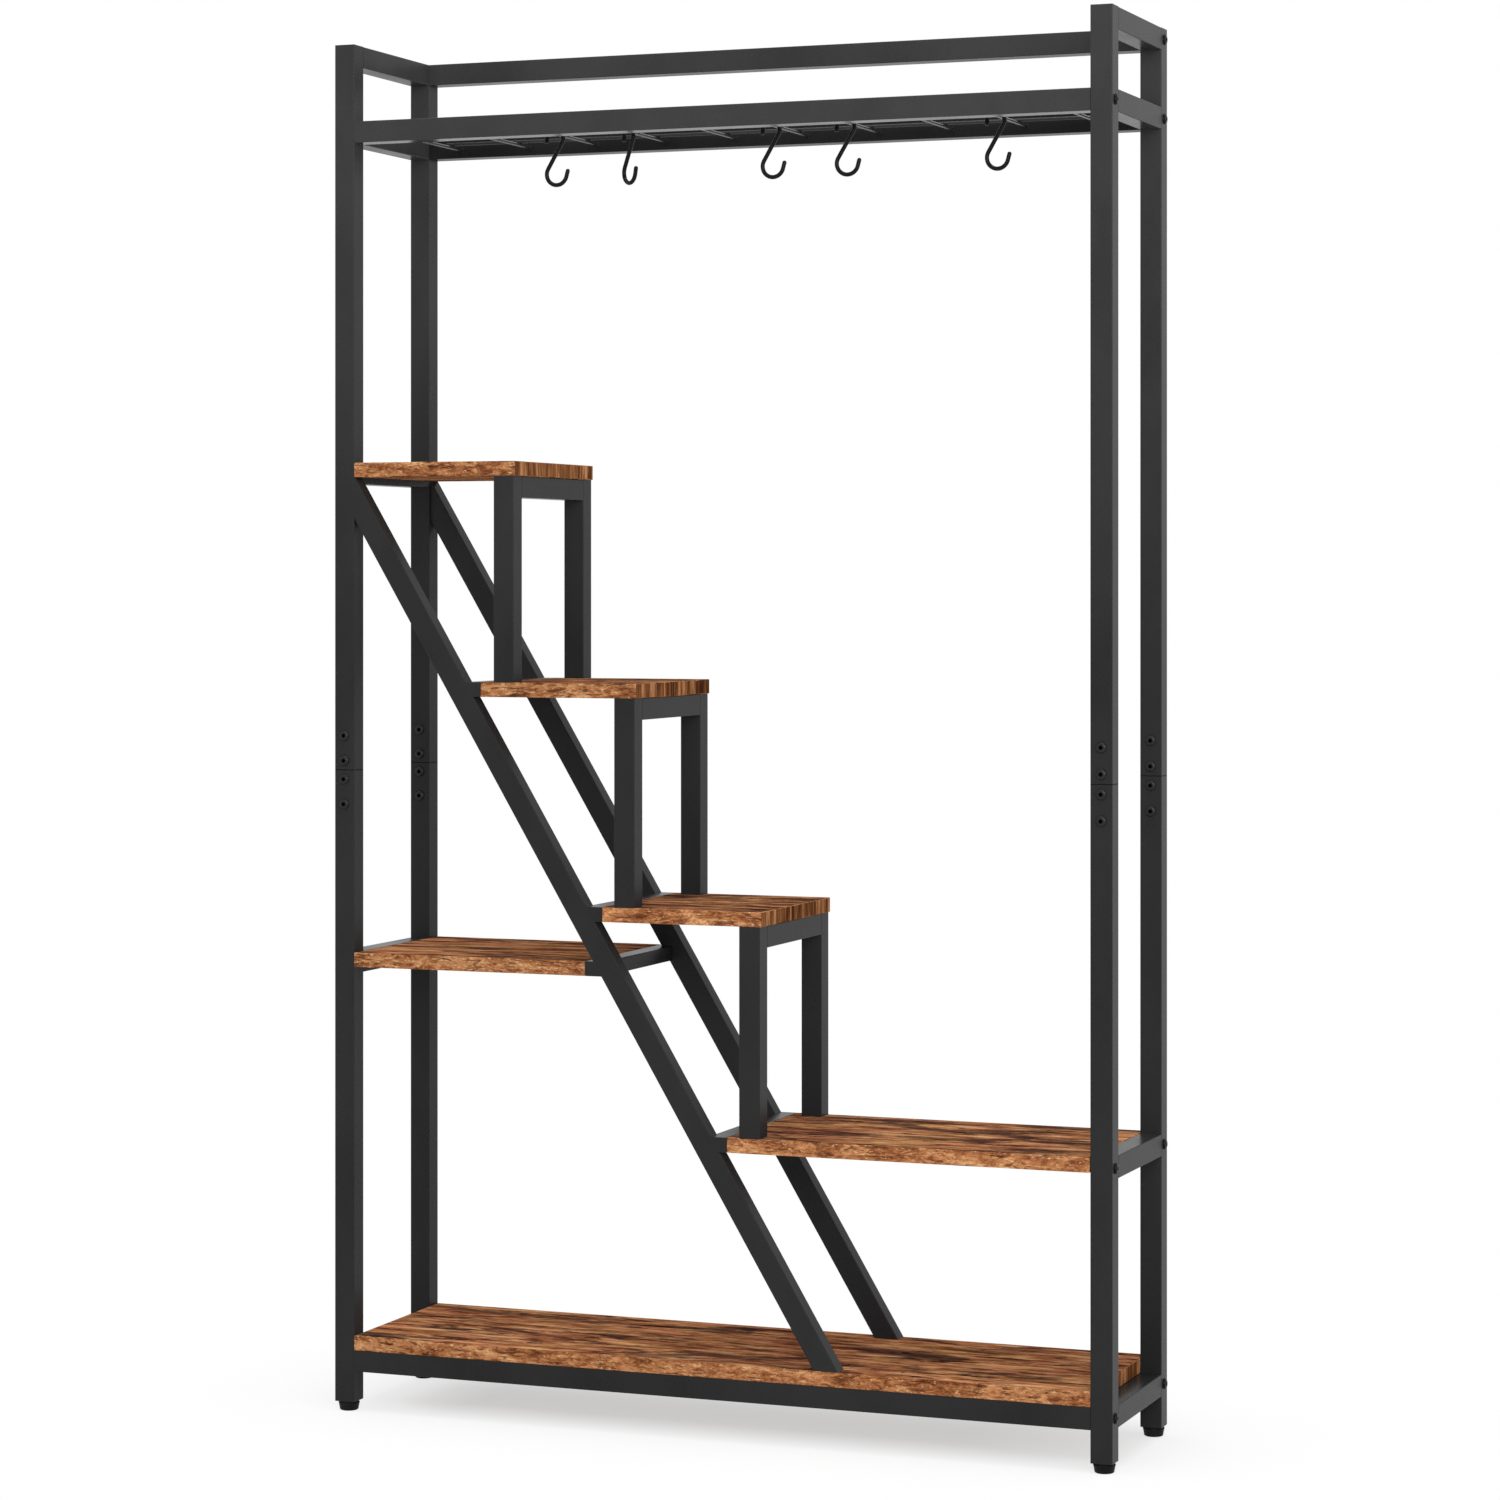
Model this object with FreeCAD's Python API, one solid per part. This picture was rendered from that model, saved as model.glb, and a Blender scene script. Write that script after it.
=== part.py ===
import FreeCAD, Part
import math
import os

V = FreeCAD.Vector

# All lengths are in millimetres and all angles in degrees.
# X runs from left to right, Y from the open front to the rear, Z up from the floor.

# Overall size
WIDTH = 1000.0
DEPTH = 240.0
POST_LENGTH = 1683.0
FOOT_HEIGHT = 12.0

# Square frame tube
TUBE = 26.5
WALL = 1.2
TUBE_CORNER = 1.2
END_PLATE = 2.5

# Heights of the frame, above the lower ends of the uprights
BOTTOM_RAIL_LIFT = 38.0
SEAM_LIFT = 783.5
GUARD_HEIGHT = 95.5

# Boards and staircase
BOARD = 18.0
BOARD_EASE = 0.6
STEP_RISE = 270.5
STEP_RUN = 162.0
TOP_STEP_OVERLAP = 46.0
STEP_OVERLAP = 44.0
LOW_STEP_END_GAP = 0.6
LEG_INSET = 2.0
SIDE_SHELF_LIFT = 475.0

# Stringers, as wide as the frame tube and less deep, that start beside the left uprights
STRINGER_DEPTH = 22.0
STRINGER_HEAD_WIDTH = 0.3

# Step crossbars, coped round the stringers
STEP_BAR_WIDTH = 25.0
STEP_BAR_WALL = 1.2
STEP_BAR_CORNER = 1.5
STEP_LEDGE = 21.0
SIDE_SHELF_LEDGE = 10.4

# Hanging grid
WIRE_RADIUS = 2.0
CROSS_WIRE_COUNT = 10
LONG_WIRE_COUNT = 3
GRID_WIRE_LIFT = 10.0
LONG_WIRE_OVERHANG = 8.0

# S-hooks
HOOK_WIRE_RADIUS = 2.6
HOOK_SEAT_GAP = 0.3
HOOK_UPPER_RADIUS = 11.0
HOOK_LOWER_RADIUS = 13.4
HOOK_REACH = 66.3
HOOK_LOWER_SHIFT = 2.4
HOOK_UPPER_TAIL = 6.0
HOOK_LOWER_TAIL = 10.0
HOOK_FLARE = 15.0

# Each hook's cross wire by number from the left, turn about the vertical, and distance from the front
HOOK_PLACES = [(3, 0, 80.0), (4, -36, 90.0), (6, 0, 85.0), (7, 3, 88.0), (9, -2, 88.0)]

# Button-head bolts and seam screws
BOLT_RADIUS = 3.0
BOLT_HEAD_RADIUS = 6.4
BOLT_HEAD_HEIGHT = 3.0
BOLT_HEAD_RIM = 1.0
BOLT_CROWN_RADIUS = 3.4
BOLT_DOME_BULGE = 0.4
HEX_ACROSS_FLATS = 4.0
HEX_DEPTH = 1.8
BOLT_BITE = 14.0
SEAM_SCREW_LENGTH = 8.0
SEAM_SCREW_NEAR = 11.5
SEAM_SCREW_FAR = 42.5
SHANK_FIT = 0.1
HEAD_BOLT_SHARE = 0.4

# Couplers, plugs, inserts and bushes
PLUG_FIT = 0.15
COUPLER_WALL = 2.5
COUPLER_END_MARGIN = 14.0
RAIL_INSERT_LENGTH = 22.0
TOP_PLUG_LENGTH = 8.0
FOOT_INSERT_LENGTH = 18.0
BUSH_RADIUS = 4.0
BUSH_LENGTH = 16.0
BUSH_FIT = 0.05

# Screws driven up from below
SCREW_RADIUS = 2.0
SCREW_HEAD_RADIUS = 4.0
SCREW_HEAD_DEPTH = 2.2
SCREW_BITE = 12.0
SCREW_TIP_ROOM = 1.0
PLATE_SCREW_OVERRUN = 3.0
FLOOR_SCREWS_PER_RAIL = 3
LEG_RAIL_SCREWS = 1

# Pins between a step crossbar and its board
PIN_RADIUS = 3.0
PIN_BITE = 20.0
PINS_PER_BAR = 2

# Levelling feet
FOOT_TOP_RADIUS = 13.0
FOOT_BOTTOM_RADIUS = 11.2
FOOT_EDGE = 1.6
FOOT_COLLAR_RADIUS = 12.0
FOOT_COLLAR_HEIGHT = 1.4
FOOT_GAP = 0.3
STUD_RADIUS = 4.0
STUD_LENGTH = 30.0
STUD_FIT = 0.06

# Room that a cutter passes beyond what it cuts
OVERRUN = 5.0

# Planes that the pieces share
LEFT_X = -WIDTH / 2
RIGHT_X = WIDTH / 2
FRONT_Y = -(DEPTH - BOLT_HEAD_HEIGHT) / 2
REAR_Y = FRONT_Y + DEPTH
INNER_LEFT_X = LEFT_X + TUBE
INNER_RIGHT_X = RIGHT_X - TUBE
INNER_FRONT_Y = FRONT_Y + TUBE
INNER_REAR_Y = REAR_Y - TUBE
INNER_WIDTH = INNER_RIGHT_X - INNER_LEFT_X
INNER_DEPTH = INNER_REAR_Y - INNER_FRONT_Y
POST_TOP_Z = FOOT_HEIGHT + POST_LENGTH
SEAM_Z = FOOT_HEIGHT + SEAM_LIFT
BOTTOM_RAIL_Z = FOOT_HEIGHT + BOTTOM_RAIL_LIFT
TOP_RAIL_Z = POST_TOP_Z - TUBE
GRID_RAIL_Z = POST_TOP_Z - GUARD_HEIGHT - TUBE
FLOOR_TOP_Z = BOTTOM_RAIL_Z + TUBE + BOARD
LOW_STEP_TOP_Z = FLOOR_TOP_Z + STEP_RISE
SECOND_STEP_TOP_Z = LOW_STEP_TOP_Z + STEP_RISE
THIRD_STEP_TOP_Z = SECOND_STEP_TOP_Z + STEP_RISE
TOP_STEP_TOP_Z = THIRD_STEP_TOP_Z + STEP_RISE
SIDE_SHELF_TOP_Z = FLOOR_TOP_Z + SIDE_SHELF_LIFT
TOP_STEP_UNDER_Z = TOP_STEP_TOP_Z - BOARD
CROSS_WIRE_Z = GRID_RAIL_Z + GRID_WIRE_LIFT
LONG_WIRE_Z = CROSS_WIRE_Z + 2 * WIRE_RADIUS

# Directions
AXIS_X = V(1, 0, 0)
AXIS_Y = V(0, 1, 0)
AXIS_Z = V(0, 0, 1)

# The two planes of tube, front and rear, by their lower Y and the Y of their centre
TUBE_PLANES = {"front": FRONT_Y, "rear": INNER_REAR_Y}
TUBE_CENTRES = {"front": FRONT_Y + TUBE / 2, "rear": INNER_REAR_Y + TUBE / 2}

# The lower Y of each stringer, flush with the outside of the frame
STRINGER_PLANES = {"front": FRONT_Y, "rear": REAR_Y - STRINGER_DEPTH}


# Shape helpers

def bar(low, size, axis, corner):
    """Block from its low corner, with its four edges along the axis rounded."""
    block = Part.makeBox(size.x, size.y, size.z, low)
    edges = [e for e in block.Edges if round(abs(e.tangentAt(e.FirstParameter).dot(axis))) == 1]
    return block.makeFillet(corner, edges)


def cavity(low, size, axis, wall, inset):
    """The hollow of a tube, which stops short of its ends by the inset."""
    across = V(1, 1, 1) - axis
    inner_low = low + across * wall + axis * inset
    inner_size = size - across * (2 * wall) - axis * (2 * inset)
    return Part.makeBox(inner_size.x, inner_size.y, inner_size.z, inner_low)


def tube(low, size, axis, inset=-OVERRUN, wall=WALL, corner=TUBE_CORNER):
    """Hollow bar, open at its ends unless the inset leaves a plate there."""
    return bar(low, size, axis, corner).cut(cavity(low, size, axis, wall, inset))


def plug(low, size, axis):
    """Block that fills a square tube's hollow from its low end."""
    return cavity(low, size, axis, WALL + PLUG_FIT, 0)


def rod(start, axis, length, radius):
    """Round bar from its start point."""
    return Part.makeCylinder(radius, length, start, axis)


def drilled(shape, drills):
    """The shape without the drills that reach it."""
    near = [d for d in drills if shape.BoundBox.intersect(d.BoundBox)]
    if near:
        return shape.cut(near)
    return shape


def spread(start, length, count):
    """Places in the middle of equal parts of a length."""
    return [start + length * (number + 1 / 2) / count for number in range(count)]


# Stringer line: it falls one rise for each run from the head, beside the upright under the top step

SLOPE_LENGTH = math.hypot(STEP_RISE, STEP_RUN)
SLOPE_ANGLE = math.degrees(math.atan2(STEP_RUN, STEP_RISE))
STRINGER_LEVEL_WIDTH = TUBE * SLOPE_LENGTH / STEP_RISE


def stringer_right_x(z):
    """Where the stringers' upper edge is at a height."""
    head_x = INNER_LEFT_X + STRINGER_HEAD_WIDTH
    return head_x + (TOP_STEP_UNDER_Z - z) * STEP_RUN / STEP_RISE


def stringer_left_x(z):
    """Where the stringers' lower edge is at a height."""
    return stringer_right_x(z) - STRINGER_LEVEL_WIDTH


def stringer_left_z(x):
    """How high the stringers' lower edge is at a place along X."""
    return THIRD_STEP_TOP_Z + (stringer_left_x(THIRD_STEP_TOP_Z) - x) * STEP_RISE / STEP_RUN


# Where each stair board starts and ends along X
THIRD_STEP_X = stringer_right_x(THIRD_STEP_TOP_Z) + STEP_LEDGE
SECOND_STEP_X = stringer_right_x(SECOND_STEP_TOP_Z) + STEP_LEDGE
LOW_STEP_X = stringer_right_x(LOW_STEP_TOP_Z) + STEP_LEDGE
TOP_STEP_END_X = THIRD_STEP_X + TOP_STEP_OVERLAP
THIRD_STEP_END_X = SECOND_STEP_X + STEP_OVERLAP
SECOND_STEP_END_X = LOW_STEP_X + STEP_OVERLAP
LOW_STEP_END_X = INNER_RIGHT_X - LOW_STEP_END_GAP

# The side shelf's free end, and where the stringers meet the floor board and the upright
SIDE_SHELF_END_X = stringer_left_x(SIDE_SHELF_TOP_Z) - SIDE_SHELF_LEDGE
STRINGER_FOOT_X = stringer_right_x(FLOOR_TOP_Z) - STRINGER_LEVEL_WIDTH / 2
STRINGER_HEAD_LOW_Z = stringer_left_z(INNER_LEFT_X)
STRINGER_BOLT_Z = STRINGER_HEAD_LOW_Z + (TOP_STEP_UNDER_Z - STRINGER_HEAD_LOW_Z) * HEAD_BOLT_SHARE

# Boards by name: left end, right end and top
BOARDS = {
    "floor_board": (INNER_LEFT_X, INNER_RIGHT_X, FLOOR_TOP_Z),
    "low_step_board": (LOW_STEP_X, LOW_STEP_END_X, LOW_STEP_TOP_Z),
    "second_step_board": (SECOND_STEP_X, SECOND_STEP_END_X, SECOND_STEP_TOP_Z),
    "third_step_board": (THIRD_STEP_X, THIRD_STEP_END_X, THIRD_STEP_TOP_Z),
    "top_step_board": (INNER_LEFT_X, TOP_STEP_END_X, TOP_STEP_TOP_Z),
    "side_shelf_board": (INNER_LEFT_X, SIDE_SHELF_END_X, SIDE_SHELF_TOP_Z),
}

# Step crossbars by name: left side, top, and the X where they meet their board
STEP_BARS = {
    "low_step_crossbar": (LOW_STEP_X - STEP_BAR_WIDTH, LOW_STEP_TOP_Z, LOW_STEP_X),
    "second_step_crossbar": (SECOND_STEP_X - STEP_BAR_WIDTH, SECOND_STEP_TOP_Z, SECOND_STEP_X),
    "third_step_crossbar": (THIRD_STEP_X - STEP_BAR_WIDTH, THIRD_STEP_TOP_Z, THIRD_STEP_X),
    "side_shelf_crossbar": (SIDE_SHELF_END_X, SIDE_SHELF_TOP_Z, SIDE_SHELF_END_X),
}

# Leg frames by name: right side, the board top they stand on, the board top they carry
LEGS = {
    "top_leg": (TOP_STEP_END_X - LEG_INSET, THIRD_STEP_TOP_Z, TOP_STEP_TOP_Z),
    "middle_leg": (THIRD_STEP_END_X - LEG_INSET, SECOND_STEP_TOP_Z, THIRD_STEP_TOP_Z),
    "low_leg": (SECOND_STEP_END_X - LEG_INSET, LOW_STEP_TOP_Z, SECOND_STEP_TOP_Z),
}

# Crossbars between the front and rear uprights: side and lower Z
SIDE_CROSSBARS = {
    "left_top_crossbar": ("left", TOP_RAIL_Z),
    "left_grid_crossbar": ("left", GRID_RAIL_Z),
    "left_step_crossbar": ("left", TOP_STEP_TOP_Z - TUBE),
    "left_shelf_crossbar": ("left", SIDE_SHELF_TOP_Z - TUBE),
    "left_bottom_crossbar": ("left", BOTTOM_RAIL_Z),
    "right_top_crossbar": ("right", TOP_RAIL_Z),
    "right_grid_crossbar": ("right", GRID_RAIL_Z),
    "right_step_crossbar": ("right", LOW_STEP_TOP_Z - TUBE),
    "right_bottom_crossbar": ("right", BOTTOM_RAIL_Z),
}

# Rails between the side frames: plane and lower Z
RAILS = {
    "rear_top_rail": ("rear", TOP_RAIL_Z),
    "front_grid_rail": ("front", GRID_RAIL_Z),
    "rear_grid_rail": ("rear", GRID_RAIL_Z),
    "front_bottom_rail": ("front", BOTTOM_RAIL_Z),
    "rear_bottom_rail": ("rear", BOTTOM_RAIL_Z),
}


# Fasteners along X: side, plane and height of every bolt through an upright

def rail_bolt_places():
    """Bolts that end in a rail's threaded insert."""
    places = []
    for plane, rail_z in RAILS.values():
        for side in ("left", "right"):
            places.append((side, plane, rail_z + TUBE / 2))
    return places


def board_bolt_places():
    """Bolts level with a side crossbar that end in a threaded bush in the end of a board."""
    places = []
    for plane in TUBE_PLANES:
        places.append(("right", plane, LOW_STEP_TOP_Z - TUBE / 2))
        places.append(("left", plane, TOP_STEP_TOP_Z - TUBE / 2))
        places.append(("left", plane, SIDE_SHELF_TOP_Z - TUBE / 2))
    return places


def stringer_bolt_places():
    """Bolts that end in the closed head of a stringer."""
    return [("left", plane, STRINGER_BOLT_Z) for plane in TUBE_PLANES]


ALL_BOLT_PLACES = rail_bolt_places() + board_bolt_places() + stringer_bolt_places()


def inward(side):
    """Direction from a side frame's outer face to the middle of the rack."""
    return AXIS_X if side == "left" else AXIS_X * -1


def bolt_seat(place):
    """Point on the outer face of an upright where a bolt's head sits."""
    side, plane, z = place
    x = LEFT_X if side == "left" else RIGHT_X
    return V(x, TUBE_CENTRES[plane], z)


def seam_screw_seats():
    """Points on the front faces of the uprights where the seam screws' heads sit."""
    seats = []
    for x in (LEFT_X + TUBE / 2, RIGHT_X - TUBE / 2):
        for plane_y in TUBE_PLANES.values():
            for offset in (-SEAM_SCREW_FAR, -SEAM_SCREW_NEAR, SEAM_SCREW_NEAR, SEAM_SCREW_FAR):
                seats.append(V(x, plane_y, SEAM_Z + offset))
    return seats


def hex_socket():
    """Six-sided hole from the socket's floor to above the head."""
    corner = V(HEX_ACROSS_FLATS / math.sqrt(3), 0, BOLT_HEAD_HEIGHT - HEX_DEPTH)
    turns = [FreeCAD.Rotation(AXIS_Z, angle) for angle in range(0, 361, 60)]
    outline = Part.makePolygon([turn.multVec(corner) for turn in turns])
    return Part.Face(outline).extrude(V(0, 0, HEX_DEPTH + OVERRUN))


def button_head(seat, direction):
    """Domed head with a hex socket, standing on its seat against the drive direction."""
    origin = V(0, 0, 0)
    top = V(0, 0, BOLT_HEAD_HEIGHT)
    rim = V(BOLT_HEAD_RADIUS, 0, 0)
    shoulder = V(BOLT_HEAD_RADIUS, 0, BOLT_HEAD_RIM)
    crown = V(BOLT_CROWN_RADIUS, 0, BOLT_HEAD_HEIGHT)
    on_dome = (shoulder + crown) / 2 + V(BOLT_DOME_BULGE, 0, BOLT_DOME_BULGE)
    profile = Part.Wire([
        Part.makeLine(origin, rim),
        Part.makeLine(rim, shoulder),
        Part.Arc(shoulder, on_dome, crown).toShape(),
        Part.makeLine(crown, top),
        Part.makeLine(top, origin),
    ])
    head = Part.Face(profile).revolve(origin, AXIS_Z, 360).cut(hex_socket())
    head.Placement = FreeCAD.Placement(seat, FreeCAD.Rotation(AXIS_Z, direction * -1))
    return head


def bolt(seat, direction, length):
    """Button-head bolt whose shank runs from its seat along the drive direction."""
    return button_head(seat, direction).fuse(rod(seat, direction, length, BOLT_RADIUS))


def side_bolts():
    """Bolts through the uprights into the rails, boards and stringers."""
    return [bolt(bolt_seat(p), inward(p[0]), TUBE + BOLT_BITE) for p in ALL_BOLT_PLACES]


def seam_screws():
    """Screws through the uprights' front walls into the couplers."""
    return [bolt(seat, AXIS_Y, SEAM_SCREW_LENGTH) for seat in seam_screw_seats()]


def bolt_drills():
    """Holes for every bolt and seam screw, from outside the seat to past the tip."""
    drills = []
    for place in ALL_BOLT_PLACES:
        direction = inward(place[0])
        start = bolt_seat(place) - direction * OVERRUN
        length = OVERRUN + TUBE + BOLT_BITE + SCREW_TIP_ROOM
        drills.append(rod(start, direction, length, BOLT_RADIUS + SHANK_FIT))
    for seat in seam_screw_seats():
        start = seat - AXIS_Y * OVERRUN
        length = OVERRUN + SEAM_SCREW_LENGTH + SCREW_TIP_ROOM
        drills.append(rod(start, AXIS_Y, length, BOLT_RADIUS + SHANK_FIT))
    return drills


# Fasteners along Z: seat and length of every screw driven up from below

def underside_screw_places():
    """Screws up through the bottom rails, the leg rails, and the boards under the posts."""
    places = []
    through_tube = TUBE + SCREW_BITE
    through_board = BOARD + END_PLATE + PLATE_SCREW_OVERRUN
    for y in TUBE_CENTRES.values():
        for x in spread(INNER_LEFT_X, INNER_WIDTH, FLOOR_SCREWS_PER_RAIL):
            places.append((V(x, y, BOTTOM_RAIL_Z), through_tube))
        places.append((V(STRINGER_FOOT_X, y, BOTTOM_RAIL_Z), TUBE + through_board))
    for right_x, low_z, high_z in LEGS.values():
        x = right_x - TUBE / 2
        for y in TUBE_CENTRES.values():
            places.append((V(x, y, low_z - BOARD), through_board))
        for y in spread(INNER_FRONT_Y, INNER_DEPTH, LEG_RAIL_SCREWS):
            places.append((V(x, y, high_z - BOARD - TUBE), through_tube))
    return places


def screw_cone(seat, fit):
    """Countersunk head flush with its seat, larger all round by a fit."""
    return Part.makeCone(SCREW_HEAD_RADIUS + fit, SCREW_RADIUS + fit, SCREW_HEAD_DEPTH, seat, AXIS_Z)


def underside_screws():
    """Countersunk screws that hold the boards, legs and stringers down."""
    return [screw_cone(seat, 0).fuse(rod(seat, AXIS_Z, length, SCREW_RADIUS))
            for seat, length in underside_screw_places()]


def screw_drills():
    """Holes and countersinks for the screws driven up from below."""
    drills = []
    for seat, length in underside_screw_places():
        drills.append(rod(seat, AXIS_Z, length + SCREW_TIP_ROOM, SCREW_RADIUS + SHANK_FIT))
        drills.append(screw_cone(seat, SHANK_FIT))
    return drills


# Pins between the step crossbars and the boards' ends

def pin_places():
    """Start point and direction of every pin, from inside the crossbar into the board."""
    places = []
    for left_x, top_z, meet_x in STEP_BARS.values():
        direction = AXIS_X if meet_x > left_x else AXIS_X * -1
        for y in spread(INNER_FRONT_Y, INNER_DEPTH, PINS_PER_BAR):
            start = V(meet_x, y, top_z - BOARD / 2) - direction * STEP_BAR_WALL
            places.append((start, direction))
    return places


def step_pins():
    """Round pins that carry the boards' ends on the step crossbars."""
    return [rod(start, way, STEP_BAR_WALL + PIN_BITE, PIN_RADIUS) for start, way in pin_places()]


def pin_drills():
    """Holes for the pins through the crossbars' walls and into the boards."""
    drills = []
    length = STEP_BAR_WALL + PIN_BITE + 2 * SCREW_TIP_ROOM
    for pin_start, way in pin_places():
        start = pin_start - way * SCREW_TIP_ROOM
        drills.append(rod(start, way, length, PIN_RADIUS + SHANK_FIT))
    return drills


# Threaded bushes in the ends of the boards that bolt to an upright

def bush_places():
    """Mouth and direction of every bush, at a board's end beside its upright."""
    places = []
    for side, plane, z in board_bolt_places():
        x = INNER_LEFT_X if side == "left" else LOW_STEP_END_X
        places.append((V(x, TUBE_CENTRES[plane], z), inward(side)))
    return places


def bush_drills():
    """Holes for the bushes."""
    drills = []
    for mouth, way in bush_places():
        drills.append(rod(mouth - way * OVERRUN, way, OVERRUN + BUSH_LENGTH, BUSH_RADIUS + BUSH_FIT))
    return drills


BOLT_DRILLS = bolt_drills()
SCREW_DRILLS = screw_drills()
PIN_DRILLS = pin_drills()
BUSH_DRILLS = bush_drills()


def board_bushes():
    """Threaded bushes with the bolt's hole through them."""
    bushes = []
    for mouth, way in bush_places():
        bushes.append(drilled(rod(mouth, way, BUSH_LENGTH, BUSH_RADIUS), BOLT_DRILLS))
    return bushes


# Frame

def upright_half(x, y, low_z, high_z):
    """Lower or upper half of an upright, drilled for its bolts and seam screws."""
    shape = tube(V(x, y, low_z), V(TUBE, TUBE, high_z - low_z), AXIS_Z)
    return drilled(shape, BOLT_DRILLS)


def uprights():
    """Eight halves, named by side, plane and half."""
    pieces = {}
    for side, x in (("left", LEFT_X), ("right", INNER_RIGHT_X)):
        for plane, y in TUBE_PLANES.items():
            name = side + "_" + plane + "_upright_"
            pieces[name + "lower"] = upright_half(x, y, FOOT_HEIGHT, SEAM_Z)
            pieces[name + "upper"] = upright_half(x, y, SEAM_Z, POST_TOP_Z)
    return pieces


def side_crossbar(side, low_z):
    """Tube welded between the front and rear uprights of one side."""
    x = LEFT_X if side == "left" else INNER_RIGHT_X
    return tube(V(x, INNER_FRONT_Y, low_z), V(TUBE, INNER_DEPTH, TUBE), AXIS_Y)


def rail(plane, low_z):
    """Tube between the side frames, drilled for the board screws that pass it."""
    shape = tube(V(INNER_LEFT_X, TUBE_PLANES[plane], low_z), V(INNER_WIDTH, TUBE, TUBE), AXIS_X)
    return drilled(shape, SCREW_DRILLS)


def couplers():
    """Square tubes inside the uprights across the seam, drilled for the screws."""
    half = SEAM_SCREW_FAR + COUPLER_END_MARGIN
    room = WALL + PLUG_FIT
    size = V(TUBE - 2 * room, TUBE - 2 * room, 2 * half)
    pieces = []
    for x in (LEFT_X, INNER_RIGHT_X):
        for y in TUBE_PLANES.values():
            low = V(x + room, y + room, SEAM_Z - half)
            outer = Part.makeBox(size.x, size.y, size.z, low)
            inner = cavity(low, size, AXIS_Z, COUPLER_WALL, -OVERRUN)
            pieces.append(drilled(outer.cut(inner), BOLT_DRILLS))
    return pieces


def rail_inserts():
    """Threaded plugs in both ends of every rail."""
    size = V(RAIL_INSERT_LENGTH, TUBE, TUBE)
    pieces = []
    for plane, low_z in RAILS.values():
        for x in (INNER_LEFT_X, INNER_RIGHT_X - RAIL_INSERT_LENGTH):
            shape = plug(V(x, TUBE_PLANES[plane], low_z), size, AXIS_X)
            pieces.append(drilled(shape, BOLT_DRILLS))
    return pieces


def top_plugs():
    """Plugs that close the upper ends of the uprights."""
    size = V(TUBE, TUBE, TOP_PLUG_LENGTH)
    low_z = POST_TOP_Z - TOP_PLUG_LENGTH
    return [plug(V(x, y, low_z), size, AXIS_Z)
            for x in (LEFT_X, INNER_RIGHT_X) for y in TUBE_PLANES.values()]


# Staircase

def stringer_envelope(y):
    """Outside of a stringer, longer than the real one at both ends."""
    low = V(-TUBE, y, -POST_LENGTH)
    size = V(TUBE, STRINGER_DEPTH, 2 * POST_LENGTH)
    return placed_on_slope(bar(low, size, AXIS_Z, TUBE_CORNER))


def stringer_hollow(y):
    """Inside of a stringer, longer than the real one at both ends."""
    low = V(-TUBE, y, -POST_LENGTH)
    size = V(TUBE, STRINGER_DEPTH, 2 * POST_LENGTH)
    return placed_on_slope(cavity(low, size, AXIS_Z, WALL, 0))


def placed_on_slope(shape):
    """Shape leaned to the slope of the staircase, with its right face on the stringer line."""
    corner = V(stringer_right_x(THIRD_STEP_TOP_Z), 0, THIRD_STEP_TOP_Z)
    shape.Placement = FreeCAD.Placement(corner, FreeCAD.Rotation(AXIS_Y, -SLOPE_ANGLE))
    return shape


def stringer_room(inset):
    """Space between the upright, the top step's board and the floor board, less an inset."""
    size_x = INNER_WIDTH - 2 * inset
    size_z = TOP_STEP_UNDER_Z - FLOOR_TOP_Z - 2 * inset
    return Part.makeBox(size_x, DEPTH, size_z, V(INNER_LEFT_X + inset, FRONT_Y, FLOOR_TOP_Z + inset))


def stringer(y):
    """Sloping tube with closed ends, cut upright at its head and level at its foot."""
    outside = stringer_envelope(y).common(stringer_room(0))
    inside = stringer_hollow(y).common(stringer_room(END_PLATE))
    return drilled(outside.cut(inside), BOLT_DRILLS + SCREW_DRILLS)


def step_crossbar(left_x, top_z):
    """Flat tube level with its board, coped round both stringers."""
    low = V(left_x, FRONT_Y, top_z - BOARD)
    size = V(STEP_BAR_WIDTH, DEPTH, BOARD)
    shape = tube(low, size, AXIS_Y, END_PLATE, STEP_BAR_WALL, STEP_BAR_CORNER)
    envelopes = [stringer_envelope(y) for y in STRINGER_PLANES.values()]
    return drilled(shape.cut(envelopes), PIN_DRILLS)


def leg_posts(right_x, low_z, high_z):
    """Front and rear post of a leg frame, with closed ends."""
    size = V(TUBE, TUBE, high_z - BOARD - low_z)
    return [drilled(tube(V(right_x - TUBE, y, low_z), size, AXIS_Z, END_PLATE), SCREW_DRILLS)
            for y in TUBE_PLANES.values()]


def leg_rail(right_x, high_z):
    """Tube between the two posts of a leg frame, under the board it carries."""
    low = V(right_x - TUBE, INNER_FRONT_Y, high_z - BOARD - TUBE)
    return drilled(tube(low, V(TUBE, INNER_DEPTH, TUBE), AXIS_Y), SCREW_DRILLS)


def board(left_x, right_x, top_z):
    """Full-depth board with eased edges, drilled for its screws, pins and bushes."""
    shape = Part.makeBox(right_x - left_x, DEPTH, BOARD, V(left_x, FRONT_Y, top_z - BOARD))
    shape = shape.makeChamfer(BOARD_EASE, shape.Edges)
    return drilled(shape, SCREW_DRILLS + PIN_DRILLS + BUSH_DRILLS + BOLT_DRILLS)


# Hanging grid and hooks

CROSS_WIRE_PLACES = spread(INNER_LEFT_X, INNER_WIDTH, CROSS_WIRE_COUNT)


def cross_wires():
    """Wires from the front grid rail to the rear one."""
    return [rod(V(x, INNER_FRONT_Y, CROSS_WIRE_Z), AXIS_Y, INNER_DEPTH, WIRE_RADIUS)
            for x in CROSS_WIRE_PLACES]


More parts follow.
